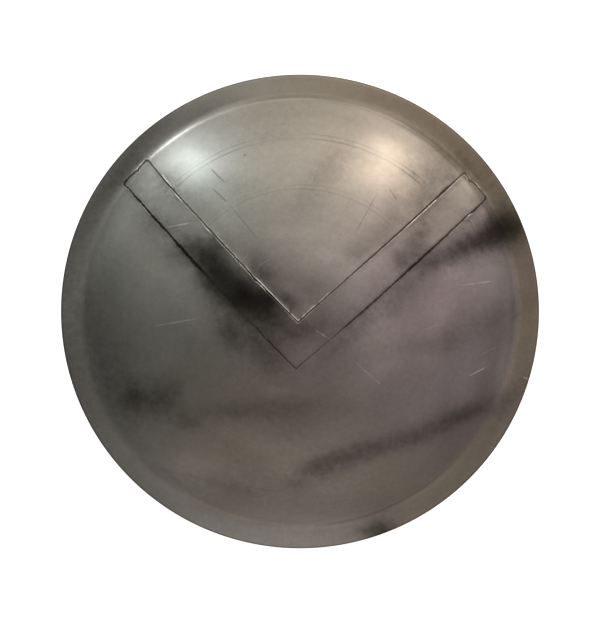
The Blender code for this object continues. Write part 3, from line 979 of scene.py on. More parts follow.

# %% Dabs of soot behind the gouged line, and of soot and painted shade free of it
# column, row, half length, half width, degrees anticlockwise, strength in hundredths
HELD_SOOT = [
    (194, 253, 42, 16, -35, 64), (212, 266, 33, 15, -88, 62), (247, 290, 43, 13, -42, 81),
    (235, 300, 32, 15, -38, 86), (268, 307, 34, 24, 37, 56), (216, 243, 12, 8, -45, 40),
    (218, 275, 20, 9, -55, 36), (245, 295, 20, 9, -34, 70), (263, 302, 16, 8, -42, 42),
    (198, 246, 11, 8, -45, 20), (228, 268, 7, 8, 0, 14), (269, 296, 9, 7, -45, 55),
]
# Free of the line: soot, and painted shade
FREE_SOOT_AND_SHADE = [
    (263, 271, 20, 13, -49, 48), (288, 300, 12, 6, -39, 45), (501, 209, 52, 14, -64, 35),
    (499, 232, 35, 20, 26, 80), (465, 246, 59, 13, 26, 69), (417, 243, 36, 16, 76, 47),
    (394, 221, 54, 13, 41, 26), (398, 258, 10, 6, -53, 40), (366, 318, 54, 18, 39, 47),
    (292, 430, 31, 23, 44, 16), (321, 466, 31, 11, 23, 43), (346, 463, 65, 23, 35, 23),
    (390, 444, 54, 9, 16, 40), (421, 434, 19, 7, 62, 18), (445, 413, 32, 10, 86, 16),
    (463, 414, 31, 9, 21, 48), (512, 398, 45, 11, 55, 22), (110, 384, 47, 29, -85, 30),
    (164, 395, 23, 16, 43, 55), (133, 397, 18, 15, -79, 62), (379, 532, 18, 13, 21, 68),
    (245, 410, 75, 12, 2, 34), (189, 422, 14, 9, -2, 24), (213, 482, 56, 14, -10, 30),
    (229, 334, 19, 15, -58, 53), (266, 353, 24, 17, -45, 46), (301, 329, 47, 14, 19, 37),
    (325, 172, 47, 15, 52, 22), (481, 325, 60, 15, 25, 26), (58, 337, 162, 35, 86, 41),
    (119, 169, 74, 12, 55, 44), (174, 193, 24, 14, -26, 38), (435, 166, 34, 31, 82, 32),
    (256, 468, 58, 15, -36, 16), (118, 398, 50, 11, -63, 34), (470, 414, 36, 10, 45, 10),
    (150, 208, 26, 12, -55, 18), (162, 178, 12, 8, -30, 14), (430, 262, 14, 6, 20, 20),
    (466, 216, 10, 7, 60, 22), (393, 200, 14, 8, 90, 14), (207, 144, 14, 8, 0, 10),
    (268, 282, 20, 9, -45, 22), (288, 303, 14, 7, -40, 15), (130, 188, 12, 6, -40, 16),
    (229, 330, 16, 9, -70, 38), (255, 338, 26, 18, -20, 20), (268, 364, 22, 12, -30, 14),
    (499, 223, 15, 13, 30, 50), (373, 528, 22, 6, 14, 42), (178, 480, 38, 9, -32, 20),
    (95, 330, 40, 8, -80, 14), (495, 240, 16, 6, 10, 20), (434, 429, 36, 11, 33, 16),
    (104, 290, 72, 18, 88, 11), (140, 395, 14, 10, 0, 26), (366, 158, 16, 9, -20, 10),
    (285, 116, 34, 15, 0, 8), (275, 322, 10, 7, 0, 22), (298, 331, 12, 9, 0, 18),
    (331, 350, 16, 7, 40, 12), (447, 340, 16, 7, 90, 12), (124, 355, 44, 20, 84, 19),
    (142, 220, 24, 14, -60, 18), (150, 420, 22, 11, 5, 14), (472, 411, 32, 7, 0, 16),
    (470, 245, 24, 8, 5, 10), (441, 202, 14, 7, 0, 14), (209, 286, 13, 6, -35, 34),
    (241, 304, 11, 5, -40, 26), (173, 260, 14, 9, -40, 16), (357, 252, 12, 8, 0, 16),
    (212, 312, 9, 16, 10, 12), (250, 326, 8, 7, 0, 16), (451, 177, 7, 6, -40, 22),
    (466, 160, 12, 4, -48, 10), (139, 162, 7, 6, 0, 24), (462, 310, 14, 18, 60, 17),
    (415, 345, 24, 8, 0, 14), (515, 231, 8, 12, -70, 32), (504, 402, 17, 8, 52, 28),
    (456, 160, 12, 6, -45, 14), (384, 534, 13, 4, 20, 36), (270, 297, 6, 5, 0, 36),
    (478, 243, 12, 6, 10, 20), (473, 212, 5, 10, -40, 16), (474, 176, 26, 5, -52, 24),
    (275, 523, 32, 5, -2, 15), (481, 440, 34, 6, 52, 14), (153, 403, 14, 5, 0, 18),
    (181, 391, 8, 6, 0, 18), (193, 243, 6, 5, 0, 20), (220, 243, 7, 6, 0, 24),
    (122, 176, 16, 7, 50, 16), (89, 290, 26, 6, 88, 10), (420, 174, 17, 9, 0, 13),
    (512, 262, 5, 22, 0, 12), (224, 262, 6, 10, -30, 16), (268, 330, 6, 8, 0, 16),
    (290, 312, 8, 5, -45, 20), (313, 287, 8, 8, 0, 16), (393, 310, 6, 8, 0, 18),
    (400, 265, 5, 6, 0, 18), (452, 335, 7, 16, 0, 14), (181, 422, 16, 8, 0, 13),
    (150, 379, 14, 5, 0, 16), (515, 315, 5, 30, 0, 12), (272, 138, 26, 7, 5, 10),
    (172, 171, 14, 6, 20, 12), (385, 470, 30, 8, 35, 10), (232, 410, 10, 6, 0, 12),
    (365, 443, 12, 4, 10, 12), (320, 325, 8, 18, 0, 14), (395, 438, 22, 7, 30, 16),
    (296, 486, 9, 7, 0, 16), (290, 405, 34, 7, 0, 14), (384, 512, 22, 8, 20, 14),
    (410, 248, 14, 7, 90, 14), (378, 277, 10, 7, 0, 12), (433, 262, 9, 7, 0, 14),
]

# %% Dabs where the steel is rubbed paler, and painted highlights
# The same columns as for the soot
RUBBED_AND_SHEEN = [
    (183, 290, 71, 21, -45, 30), (324, 252, 45, 28, -9, 42), (153, 307, 44, 18, -61, 16),
    (367, 319, 34, 29, -72, 72), (125, 410, 74, 16, -58, 44), (278, 543, 159, 30, -3, 72),
    (188, 476, 30, 18, -24, 82), (272, 88, 91, 11, -1, 14), (434, 163, 45, 17, -42, 46),
    (488, 260, 42, 18, -76, 34), (422, 476, 45, 16, 37, 18), (102, 250, 125, 16, 57, 28),
    (379, 371, 28, 11, 19, 19), (402, 274, 22, 9, 15, 30), (446, 262, 12, 8, 40, 25),
    (364, 112, 26, 8, -14, 20), (404, 165, 26, 10, -52, 12), (170, 137, 22, 9, 52, 18),
    (180, 191, 10, 7, 0, 20), (207, 233, 12, 8, -45, 20), (174, 238, 14, 7, -40, 14),
    (222, 200, 30, 16, -50, 14), (504, 362, 30, 6, 80, 22), (234, 110, 20, 7, 20, 16),
    (325, 268, 36, 9, -5, 8), (496, 213, 20, 8, -70, 30), (468, 183, 17, 5, -45, 48),
    (483, 214, 10, 6, -40, 22), (404, 235, 10, 12, 0, 16), (203, 270, 9, 5, -40, 30),
    (235, 331, 12, 8, 0, 12), (185, 236, 12, 7, 60, 20), (435, 240, 9, 7, 0, 22),
    (266, 280, 9, 7, 0, 20), (291, 315, 8, 7, 0, 26), (255, 299, 9, 5, -42, 70),
    (225, 322, 8, 8, 0, 20), (226, 294, 7, 5, 0, 20), (250, 313, 8, 6, 0, 20),
    (499, 231, 6, 6, 0, 22), (445, 308, 18, 12, 0, 14), (280, 232, 22, 9, 0, 12),
    (228, 222, 14, 6, -45, 14), (122, 190, 6, 6, 0, 14), (125, 390, 9, 5, 0, 20),
    (131, 415, 8, 5, 0, 16), (146, 457, 14, 4, -45, 16), (483, 366, 8, 6, 0, 18),
    (425, 358, 10, 8, 0, 14), (284, 288, 9, 9, 0, 18), (186, 392, 8, 8, 0, 16),
    (450, 155, 18, 4, -48, 16), (325, 467, 14, 5, 20, 16), (388, 443, 6, 5, 0, 20),
    (205, 290, 6, 5, 0, 18), (175, 285, 16, 8, 70, 10), (325, 255, 24, 5, -10, 12),
    (470, 206, 10, 6, -30, 20), (508, 300, 30, 4, 88, 16), (232, 168, 24, 9, 0, 12),
    (385, 145, 18, 7, -30, 16), (330, 186, 40, 9, 0, 8), (440, 320, 40, 20, 30, 8),
    (275, 392, 12, 8, 0, 14), (230, 291, 10, 6, 0, 22), (265, 338, 8, 6, 0, 20),
    (305, 357, 14, 5, 40, 12), (358, 395, 12, 14, 0, 10), (165, 240, 10, 6, 0, 22),
    (186, 268, 10, 6, -45, 18), (219, 260, 7, 6, 0, 26), (240, 260, 7, 7, 0, 16),
    (211, 234, 14, 8, 0, 16), (350, 272, 20, 8, 20, 17), (375, 256, 9, 7, 0, 18),
    (415, 266, 14, 8, 60, 18), (452, 270, 14, 10, 0, 22), (479, 253, 18, 6, 0, 20),
    (402, 128, 44, 10, -32, 18), (462, 190, 10, 9, -40, 22), (408, 216, 12, 14, 0, 14),
    (365, 215, 24, 16, 0, 10), (305, 308, 6, 7, 0, 22), (500, 372, 34, 8, 80, 20),
    (380, 308, 10, 14, 0, 14), (472, 227, 8, 8, 0, 28), (290, 474, 10, 8, 0, 14),
    (283, 444, 20, 8, 0, 10),
]

# %% Dabs of painted reflection tints
# Violet, olive and greenish painted reflections of the room, with the same columns again
VIOLET = [
    (410, 280, 105, 16, 32, 70), (335, 342, 26, 20, 0, 25), (470, 244, 44, 13, 12, 75),
    (445, 290, 80, 40, 20, 42), (292, 520, 70, 10, 0, 30), (300, 165, 30, 40, 0, 20),
    (510, 392, 12, 30, 70, 70), (178, 290, 26, 46, 0, 30), (225, 185, 26, 40, 0, 22),
]
OLIVE = [
    (446, 468, 96, 38, 45, 78), (283, 405, 36, 14, 0, 60), (500, 372, 44, 18, 78, 55),
    (120, 404, 16, 12, 0, 50), (455, 158, 60, 12, -46, 40), (270, 87, 80, 9, 5, 60),
    (516, 222, 16, 20, 0, 100), (385, 480, 30, 20, 0, 35), (465, 150, 60, 7, -50, 40),
    (235, 448, 22, 12, 0, 25),
]
GREEN = [
    (218, 190, 52, 40, -60, 75), (240, 285, 46, 36, -45, 85), (205, 330, 60, 30, -80, 35),
    (250, 130, 24, 40, 0, 35), (105, 380, 40, 16, -70, 40), (230, 88, 50, 9, 12, 40),
    (380, 150, 16, 14, 0, 30),
]

# %% Lay the dabs on the face
DAB_FADE = 0.9
DAB_END = 9.0


class Dab:
    """An oval spot of the face that fades outwards from its middle."""

    def __init__(self, column, row, half_long, half_wide, turn, strength):
        self.middle = on_face(column, row)
        turned = math.radians(turn)
        self.long_way = Vector((math.cos(turned), math.sin(turned))) / (half_long * PIXEL)
        self.wide_way = Vector((-math.sin(turned), math.cos(turned))) / (half_wide * PIXEL)
        self.strength = strength / 100

    def at(self, place):
        step = place - self.middle
        far = step.dot(self.long_way) ** 2 + step.dot(self.wide_way) ** 2
        return self.strength * math.exp(-DAB_FADE * far) if far < DAB_END else 0.0


def laid(dabs):
    return [Dab(*dab) for dab in dabs]


held_soot, free_soot_and_shade, rubbed_and_sheen = laid(HELD_SOOT), laid(FREE_SOOT_AND_SHADE), laid(RUBBED_AND_SHEEN)
reflection_tints = {"violet": laid(VIOLET), "olive": laid(OLIVE), "green": laid(GREEN)}
print(len(held_soot) + len(free_soot_and_shade), "dabs of soot,", len(rubbed_and_sheen), "rubbed places,",
      sum(len(dabs) for dabs in reflection_tints.values()), "reflection_tints")

# %% Paint them on the face's corners
HAZE_BEYOND = 0.3
BURR_END = 30 * MILLIMETRE
SOFTER = 0.6
inner_left = LINES[LINE_NAMES.index("inner_left")]


def let_through(place):
    """The share of the held soot here: less behind the burr, which softens at the tip."""
    step = place - inner_left.start
    soft = MILLIMETRE + SOFTER * max(0.0, BURR_END - step.dot(inner_left.along))
    return 1 - (1 - HAZE_BEYOND) * ease(0.0, soft, step.dot(inner_left.outward))


def left_clean(place, dabs, share=1.0):
    """The part of the steel here that none of the dabs covers."""
    return math.prod(1 - dab.at(place) * share for dab in dabs)


# Marks for soot and painted shade, for rubbed places and painted highlights, and for the painted
# reflection tints
soot_and_shade_marks, rubbed_and_sheen_marks, *reflection_tint_marks = add_marks(shield, "soot_and_shade", "rubbed_and_sheen", *reflection_tints)
for index, point in enumerate(shield.data.vertices):
    if not is_behind(point):
        place = point.co.xy
        clean = left_clean(place, held_soot, let_through(place)) * left_clean(place, free_soot_and_shade)
        soot_and_shade_marks[index].value = 1 - clean
        rubbed_and_sheen_marks[index].value = math.prod(1 + dab.at(place) for dab in rubbed_and_sheen) - 1
        for marks, dabs in zip(reflection_tint_marks, reflection_tints.values()):
            marks[index].value = 1 - left_clean(place, dabs)
print("blackest soot", round(max(mark.value for mark in soot_and_shade_marks), 2))

# %% [markdown]
# ## Finishes
#
# Every finish is a Principled shader whose inputs are sums over the surface: noise for
# clouds and grain, rings for the spinning, thin lines for scratches. To keep the sums
# readable, a small class wraps a node's socket. Adding or multiplying such a number
# adds the Math node that does it.

# %% A number on the surface
def sum_of(operation):
    """A method that adds a Math node for this operation to the number's node tree."""

    def method(self, *others):
        made = self.socket.id_data.nodes.new("ShaderNodeMath")
        made.operation = operation
        for slot, value in zip(made.inputs, (self, *others)):
            join(slot, value)
        return Amount(made.outputs[0])

    return method


class Amount:
    """A socket's number: sums on it add Math nodes to its own node tree."""

    def __init__(self, socket):
        self.socket = socket

    __add__ = __radd__ = sum_of("ADD")
    __mul__ = __rmul__ = sum_of("MULTIPLY")
    __sub__, __truediv__, __pow__ = sum_of("SUBTRACT"), sum_of("DIVIDE"), sum_of("POWER")
    most, least = sum_of("MAXIMUM"), sum_of("MINIMUM")
    size, exponential = sum_of("ABSOLUTE"), sum_of("EXPONENT")

    def __rsub__(self, other):
        return self * -1.0 + other

    def rise(self, low, high):
        """0 below low and 1 above high, smooth between; low above high makes it fall."""
        made = self.socket.id_data.nodes.new("ShaderNodeMapRange")
        made.interpolation_type = "SMOOTHSTEP"
        flip = low > high
        for name, value in (("Value", self), ("From Min", min(low, high)),
                            ("From Max", max(low, high)), ("To Min", float(flip)),
                            ("To Max", float(not flip))):
            join(made.inputs[name], value)
        return Amount(made.outputs["Result"])


def join(slot, value):
    """Gives a node's socket a value, or a link from another socket."""
    if isinstance(value, Amount):
        value = value.socket
    if isinstance(value, bpy.types.NodeSocket):
        slot.id_data.links.new(value, slot)
    else:
        slot.default_value = value


# %% A finish that collects nodes
class Finish:
    """One material or the studio, with the node tree that its pattern is worked out in."""

    def __init__(self, name, kind="materials", shader="Principled BSDF", coordinates="Object"):
        self.material = getattr(bpy.data, kind).new(name)
        self.material.use_nodes = True
        self.tree = self.material.node_tree
        self.shader = self.tree.nodes[shader]
        self.place = self.node("ShaderNodeTexCoord").outputs[coordinates]
        apart = self.node("ShaderNodeSeparateXYZ", {}, {"Vector": self.place})
        self.x, self.y = (Amount(apart.outputs[name]) for name in "XY")

    def node(self, kind, settings=None, sockets=None):
        """Adds a node: its type, then its settings, then its sockets' values or links."""
        made = self.tree.nodes.new(kind)
        for name, value in (settings or {}).items():
            setattr(made, name, value)
        for name, value in (sockets or {}).items():
            join(made.inputs[name], value)
        return made

    def radius(self):
        """The distance from the middle of the shield, seen from above."""
        return (self.x * self.x + self.y * self.y) ** 0.5

    def mark(self, name):
        """A number that the mesh keeps with each point."""
        found = self.node("ShaderNodeAttribute",
                          {"attribute_type": "GEOMETRY", "attribute_name": name})
        return Amount(found.outputs["Fac"])

    def clouds(self, size, detail=2.0, roughness=0.5, stretch=(1, 1, 1), turn=0.0, seed=0.0):
        """Noise around 0, about -1 to 1, with features of this size in metres."""
        laid = self.node("ShaderNodeMapping", {}, {
            "Vector": self.place, "Rotation": (0.0, 0.0, turn),
            "Location": (seed, seed * 0.7, seed * 1.3), "Scale": stretch})
        made = self.node("ShaderNodeTexNoise", {}, {
            "Vector": laid.outputs["Vector"], "Scale": 1 / size, "Detail": detail,
            "Roughness": roughness})
        return Amount(made.outputs["Fac"]) * 4.0 - 2.0

    def rings(self, radius, size, detail=2.0, seed=0.0):
        """Noise around 0 that changes with the radius alone, as the lathe's marks do."""
        made = self.node("ShaderNodeTexNoise", {"noise_dimensions": "1D"}, {
            "W": radius / size + seed, "Scale": 1.0, "Detail": detail})
        return Amount(made.outputs["Fac"]) * 4.0 - 2.0

    def blend(self, share, below, above):
        """A colour between two others: a fixed colour or a socket each."""
        mixed = self.node("ShaderNodeMix", {"data_type": "RGBA"})
        for name, value in (("Factor", share), ("A", below), ("B", above)):
            slot = next(each for each in mixed.inputs
                        if each.name == name and each.enabled)
            if isinstance(value, tuple) and len(value) == 3:
                value = (*value, 1.0)
            join(slot, value)
        return next(each for each in mixed.outputs if each.enabled)

    def lit(self, colour, share):
        """The colour made lighter or darker by a number."""
        scaled = self.node("ShaderNodeVectorMath", {"operation": "SCALE"},
                           {0: colour, "Scale": share})
        return scaled.outputs["Vector"]

    def bump(self, height, strength, depth):
        """Fine relief, in metres, for the shader's normal."""
        made = self.node("ShaderNodeBump", {}, {"Strength": strength, "Distance": depth,
                                                "Height": height})
        join(self.shader.inputs["Normal"], made.outputs["Normal"])

    def show(self, **sockets):
        for name, value in sockets.items():
            join(self.shader.inputs[name.replace("_", " ")], value)


# %% [markdown]
# ## The face's steel
#
# Bare steel, spun and then rubbed by hand. The lathe left fine rings and a few deeper
# scribed circles, and handling left faint clouds. The rim has a painted brown reflection
# at the upper right, and painted light and shade along its arcs and sides; the hollow at
# the foot and the shoulder above it carry painted shade. Over that lie the painted
# reflection tints, the soot and painted shade, the paler rubbed places and painted
# highlights, the black in the gouged line and the bright burr beside it with its painted
# highlight, and a handful of long scratches, each where the photograph shows it.

# %% The steel's ground colour
STEEL = (0.362, 0.360, 0.352)
PLAIN_RIM = (0.330, 0.355, 0.355)
# The rim's painted brown reflection of the warm light
RIM_BROWN_REFLECTION = (0.350, 0.325, 0.265)
# Painted reflection tints of the room
REFLECTION_TINT_COLOURS = {"violet": (0.357, 0.342, 0.380), "olive": (0.386, 0.366, 0.298),
                "green": (0.340, 0.366, 0.368)}
# Between which two radii the rim's colour comes in; which way from the middle the rim
# has its painted brown reflection, and between which two distances that way it comes in
RIM_BEGINS = (0.404, 0.419)
BROWN_WAY = Vector((0.82, 0.57))
BROWN_BEGINS = (0.087, 0.42)

face_steel = Finish("face_steel")
x, y, radius = face_steel.x, face_steel.y, face_steel.radius()
wide_clouds = face_steel.clouds(0.16, detail=3.0)
small_clouds = face_steel.clouds(0.035, detail=4.0, roughness=0.6, seed=3.1)
grain = face_steel.clouds(0.0035, detail=3.0, roughness=0.7, seed=5.7)
on_rim = radius.rise(*RIM_BEGINS)
# Painted brown reflection on the rim at the upper right
brown_reflection = (x * BROWN_WAY.x + y * BROWN_WAY.y + wide_clouds * 0.03).rise(*BROWN_BEGINS)
rim_colour = face_steel.blend(brown_reflection, PLAIN_RIM, RIM_BROWN_REFLECTION)
ground = face_steel.blend(on_rim, STEEL, rim_colour)
# The painted reflection tints over the ground colour
for name, colour in REFLECTION_TINT_COLOURS.items():
    ground = face_steel.blend(face_steel.mark(name), ground, colour)

# %% How light the steel is: painted light and shade on the rim, the lathe's rings and the mottle
# Each arc of painted light on the rim: the part of x that is added to y, between which
# two such sums the arc comes in, and its strength
RIM_LIGHT_ARCS = [(0.15, (0.31, 0.42), 0.13), (-0.1, (0.375, 0.43), 0.20),
            (0.25, (-0.19, -0.42), 0.14)]
# Each side of the rim with painted shade: where it comes in along x, and along y, and its strength
RIM_SHADE_SIDES = [((-0.06, -0.18), (0.30, 0.36), 0.15), ((-0.10, -0.35), (-0.33, -0.12), 0.05)]


def side_of_face(along_x, along_y):
    """1 on one side of the face, given by where it comes in along x and along y."""
    return x.rise(*along_x) * y.rise(*along_y)


# Painted light and shade on the rim
painted_rim_light = 0.0
for slant, comes_in, strength in RIM_LIGHT_ARCS:
    painted_rim_light = (y + x * slant).rise(*comes_in) * strength + painted_rim_light
for along_x, along_y, strength in RIM_SHADE_SIDES:
    painted_rim_light = painted_rim_light - side_of_face(along_x, along_y) * strength
spun = face_steel.rings(radius, 0.0011, detail=3.0)
spun_wide = face_steel.rings(radius, 0.011, detail=2.0, seed=9.0)
mottle = face_steel.clouds(0.011, detail=4.0, roughness=0.65, seed=12.4)
tone = on_rim * painted_rim_light + 1.0
for pattern, strength in ((wide_clouds, 0.02), (small_clouds, 0.035), (mottle, 0.075),
                          (grain, 0.085), (spun, 0.02), (spun_wide, 0.015)):
    tone = tone + pattern * strength

# %% The hollow at the foot, and the rim's edge
# The hollow is polished at the upper left; elsewhere it is duller and has painted shade,
# most of all at the top. The shoulder above it has painted shade, stronger towards the
# bottom. The foot has painted shade at the upper right, and a narrower ring of painted
# shade on two short arcs right of the middle, above and below. Each ring lies between
# two radii: it comes in over the first pair and goes out over the second
HOLLOW = ((0.404, 0.409), (0.420, 0.411))
SHOULDER_SHADE = ((0.320, 0.375), (0.406, 0.394))
SHADE = ((0.396, 0.403), (0.415, 0.408))
NARROW_SHADE = ((0.4012, 0.404), (0.409, 0.4065))
# Where some of them come in or go out along x, and along y
UPPER_ARC = ((-0.18, -0.02), (0.20, 0.36))
SHADE_SIDE = ((0.10, 0.22), (0.10, 0.20))
NARROW_SHADE_FROM, NARROW_SHADE_TO = (-0.03, 0.09), (0.34, 0.22)
SHOULDER_SHADE_BELOW = (0.20, -0.15)
EDGE_LINE = (OUTER_RADIUS - 3.5 * MILLIMETRE, OUTER_RADIUS - 1.2 * MILLIMETRE)
POLISH_WAY = Vector((-0.602, 0.799))
POLISH_ARC = (0.9755, 0.9963)


def ring(comes_in, goes_out):
    return radius.rise(*comes_in) * radius.rise(*goes_out)


polished = ((y * POLISH_WAY.y + x * POLISH_WAY.x) / radius).rise(*POLISH_ARC)
# Painted shade in the hollow, and a duller finish, except at the upper left
dulled_and_shaded = ring(*HOLLOW) * (1.0 - polished)
edge_line = radius.rise(*EDGE_LINE)
# Painted shade on the shoulder, stronger towards the bottom
shoulder_shade = ring(*SHOULDER_SHADE) * y.rise(*SHOULDER_SHADE_BELOW)
shaded = ring(*SHADE) * side_of_face(*SHADE_SIDE)
# A narrow ring of painted shade at the foot
narrow_shade = ring(*NARROW_SHADE) * x.rise(*NARROW_SHADE_FROM) * x.rise(*NARROW_SHADE_TO)
# How much darker each of them makes the steel
for patch, darker in ((dulled_and_shaded, side_of_face(*UPPER_ARC) * 0.34 + 0.08), (edge_line, 0.42),
                      (shoulder_shade, 0.20), (shaded, 0.34), (narrow_shade, 0.26)):
    tone = tone * (1.0 - patch * darker)

# %% Scribed circles
# Each scribed circle: radius in millimetres, half its width, how dark. They were
# scribed before the rubbing, and show only between the chevron's arms and at the bottom
SCRIBED_ABOVE = [(334.0, 0.9, 0.36), (342.0, 0.8, 0.30), (243.0, 0.8, 0.20), (251.0, 0.8, 0.13)]
SCRIBED_BELOW = [(243.0, 0.8, 0.10), (251.0, 0.8, 0.08), (131.0, 0.8, 0.14)]
CIRCLE_OUT, CIRCLE_FULL = 2.0, 0.4
SECTOR_EDGE = (0.0, 0.05)


def circles(listed):
    total = 0.0
    for at, half, strength in listed:
        off = (radius - at * MILLIMETRE).size()
        line = off.rise(half * CIRCLE_OUT * MILLIMETRE, half * CIRCLE_FULL * MILLIMETRE)
        total = line * strength + total
    return total


upper_sector = (y - x.size() * 0.95).rise(*SECTOR_EDGE)
lower_sector = (y * -1.0 - x.size() * 1.1).rise(*SECTOR_EDGE)
worn = face_steel.clouds(0.12, detail=2.0, seed=8.3).rise(-1.1, 0.7)
scribed = circles(SCRIBED_ABOVE) * upper_sector * worn
scribed_light = circles(SCRIBED_BELOW) * lower_sector * worn

# %% Scratches, from pixel to pixel
# start column and row, end column and row, half width in millimetres, strength
BRIGHT_SCRATCHES = [
    (150, 326, 201, 317, 0.9, 0.70), (165, 227, 191, 222, 0.9, 0.85),
    (170, 230, 182, 227, 0.9, 0.25), (458, 285, 495, 280, 0.8, 0.60),
    (353, 360, 385, 388, 0.8, 0.42), (467, 376, 487, 366, 1.0, 1.10),
    (522, 376, 531, 380, 1.1, 1.20), (314, 329, 331, 340, 1.0, 1.00),
    (254, 267, 272, 257, 0.9, 0.40), (256, 271, 262, 262, 0.9, 0.20),
    (165, 195, 176, 180, 1.0, 0.40), (160, 190, 168, 181, 0.8, 0.30),
    (158, 170, 166, 183, 0.9, 0.25), (168, 176, 177, 190, 0.9, 0.25),
    (240, 262, 247, 254, 0.8, 0.35), (478, 355, 500, 344, 0.8, 0.25),
    (262, 372, 246, 388, 0.8, 0.20), (420, 330, 446, 322, 0.8, 0.20),
]
DARK_SCRATCHES = [
    (209, 167, 225, 183, 1.1, 0.50), (211, 187, 228, 203, 1.1, 0.42),
    (228, 203, 260, 242, 0.9, 0.28), (377, 192, 353, 235, 1.0, 0.26),
    (388, 187, 398, 202, 1.0, 0.30), (243, 154, 245, 155, 2.0, 0.50),
    (150, 465, 220, 483, 1.0, 0.14), (220, 483, 290, 492, 1.0, 0.14),
    (470, 222, 474, 232, 1.2, 0.25), (466, 219, 471, 223, 1.4, 0.35),
    (459, 226, 464, 229, 1.4, 0.30), (462, 175, 467, 180, 1.6, 0.30),
    (152, 168, 160, 180, 1.4, 0.22), (163, 172, 172, 184, 1.6, 0.18),
    (170, 186, 180, 192, 1.4, 0.18), (246, 320, 262, 332, 1.0, 0.25),
    (341, 215, 352, 196, 0.8, 0.12),
]
# Where a scratch has faded out and where it is full, in shares of its half width and
# of its half length
FADE_ACROSS = (1.8, 0.3)
FADE_LENGTHWISE = (1.05, 0.55)


def scratch(start, end, half):
    """1 on the line between two places, thin, and fading towards both ends."""
    middle = (start + end) / 2
    along = (end - start).normalized()
    reach = (end - start).length / 2
    right, forward = x - middle.x, y - middle.y
    lengthwise = (right * along.x + forward * along.y).size()
    across = (forward * along.x - right * along.y).size()
    return (across.rise(*(half * share for share in FADE_ACROSS))
            * lengthwise.rise(*(reach * share for share in FADE_LENGTHWISE)))


def all_scratches(listed):
    total = 0.0
    for column, row, to_column, to_row, half, strength in listed:
        line_mark = scratch(on_face(column, row), on_face(to_column, to_row), half * MILLIMETRE)
        total = line_mark * strength + total
    return total


broken = face_steel.clouds(0.012, detail=3.0, seed=2.2).rise(-1.4, 0.2)
bright_scratches = all_scratches(BRIGHT_SCRATCHES) * broken
dark_scratches = all_scratches(DARK_SCRATCHES) * broken

# %% Hairlines from rubbing, in three directions
HAIR_TURNS = (0.35, 1.25, 2.3)
HAIR_SIZE = 0.0016
HAIR_STRETCH = (0.035, 1.0, 1.0)
HAIR_PATCH = 0.07
hairs = 0.0
for index, turn in enumerate(HAIR_TURNS):
    streaks = face_steel.clouds(HAIR_SIZE, detail=1.0, stretch=HAIR_STRETCH, turn=turn,
                                seed=4.0 + index)
    patch = face_steel.clouds(HAIR_PATCH, detail=2.0, seed=20.0 + index).rise(0.0, 1.2)
    hairs = streaks.rise(0.75, 1.5) * patch + hairs

# %% Put the face's steel together
# Soot and painted shade share one colour
SOOT_AND_SHADE_COLOUR = (0.012, 0.011, 0.009)
DIRT_COLOUR = (0.045, 0.036, 0.030)
GOUGE_BLACK = (0.020, 0.018, 0.015)
GOUGE_BROWN = (0.072, 0.050, 0.041)
# The burr: bright cut steel with a painted highlight
BURR_STEEL_AND_GLINT = (0.93, 0.97, 0.97)
BROWN_GOUGE_BEGINS = (-0.12, 0.02)
FACE_RELIEF = 0.04 * MILLIMETRE

# The half-dark edges of the soot and the painted shade break up into smoky clouds
smoky = face_steel.clouds(0.014, detail=4.0, roughness=0.65, seed=6.6)
painted = face_steel.mark("soot_and_shade")
ragged_edge = painted * (1.0 - painted) * (smoky * 0.50 + small_clouds * 0.25)
soot_and_shade = (painted + ragged_edge).least(1.0).most(0.0)
gouge = face_steel.mark("gouge").least(1.0)
# The burr mark: bright cut steel and a painted highlight where light catches the burr
burr = face_steel.mark("burr").least(1.0)
dirt = (face_steel.mark("dirt") * (1.0 + grain * 0.4)).least(1.0)

# Paler where the steel is rubbed, and painted highlights
paler = 1.0 + face_steel.mark("rubbed_and_sheen")
steel = face_steel.lit(ground, tone * paler * (1.0 - scribed) * (1.0 - dark_scratches)
                       * (1.0 + scribed_light + bright_scratches + hairs * 0.18))
steel = face_steel.blend(dirt, steel, DIRT_COLOUR)
gouge_colour = face_steel.blend(x.rise(*BROWN_GOUGE_BEGINS), GOUGE_BLACK, GOUGE_BROWN)
steel = face_steel.blend(gouge * 0.96, steel, gouge_colour)
# Soot and painted shade darken the steel
steel = face_steel.blend(soot_and_shade, steel, SOOT_AND_SHADE_COLOUR)
# The burr's painted highlight
steel = face_steel.blend(burr, steel, BURR_STEEL_AND_GLINT)

rough = (0.345 + small_clouds * 0.015 + grain * 0.02 + soot_and_shade * 0.22 + gouge * 0.25
         + dulled_and_shaded * 0.13)
metal = 1.0 - burr * 0.45 - (gouge + dirt) * (1.0 - soot_and_shade) * 0.25
face_steel.bump(spun * 0.5 + grain * 0.5 - scribed * 3.0 - hairs * 0.5, 0.35, FACE_RELIEF)
face_steel.show(Base_Color=steel, Metallic=metal, Roughness=rough)

shield.data.materials.clear()
shield.data.materials.append(face_steel.material)
print("face steel:", len(face_steel.tree.nodes), "nodes")

# %% [markdown]
# ## The back and the fittings
#
# Inside, the sheet was never rubbed: it is duller, with the same rings. The strap and
# the bar are bent from mill steel, darker and rougher, with some brightness where
# hands and sleeves rub. The welds carry the blue and straw colours of their heat.

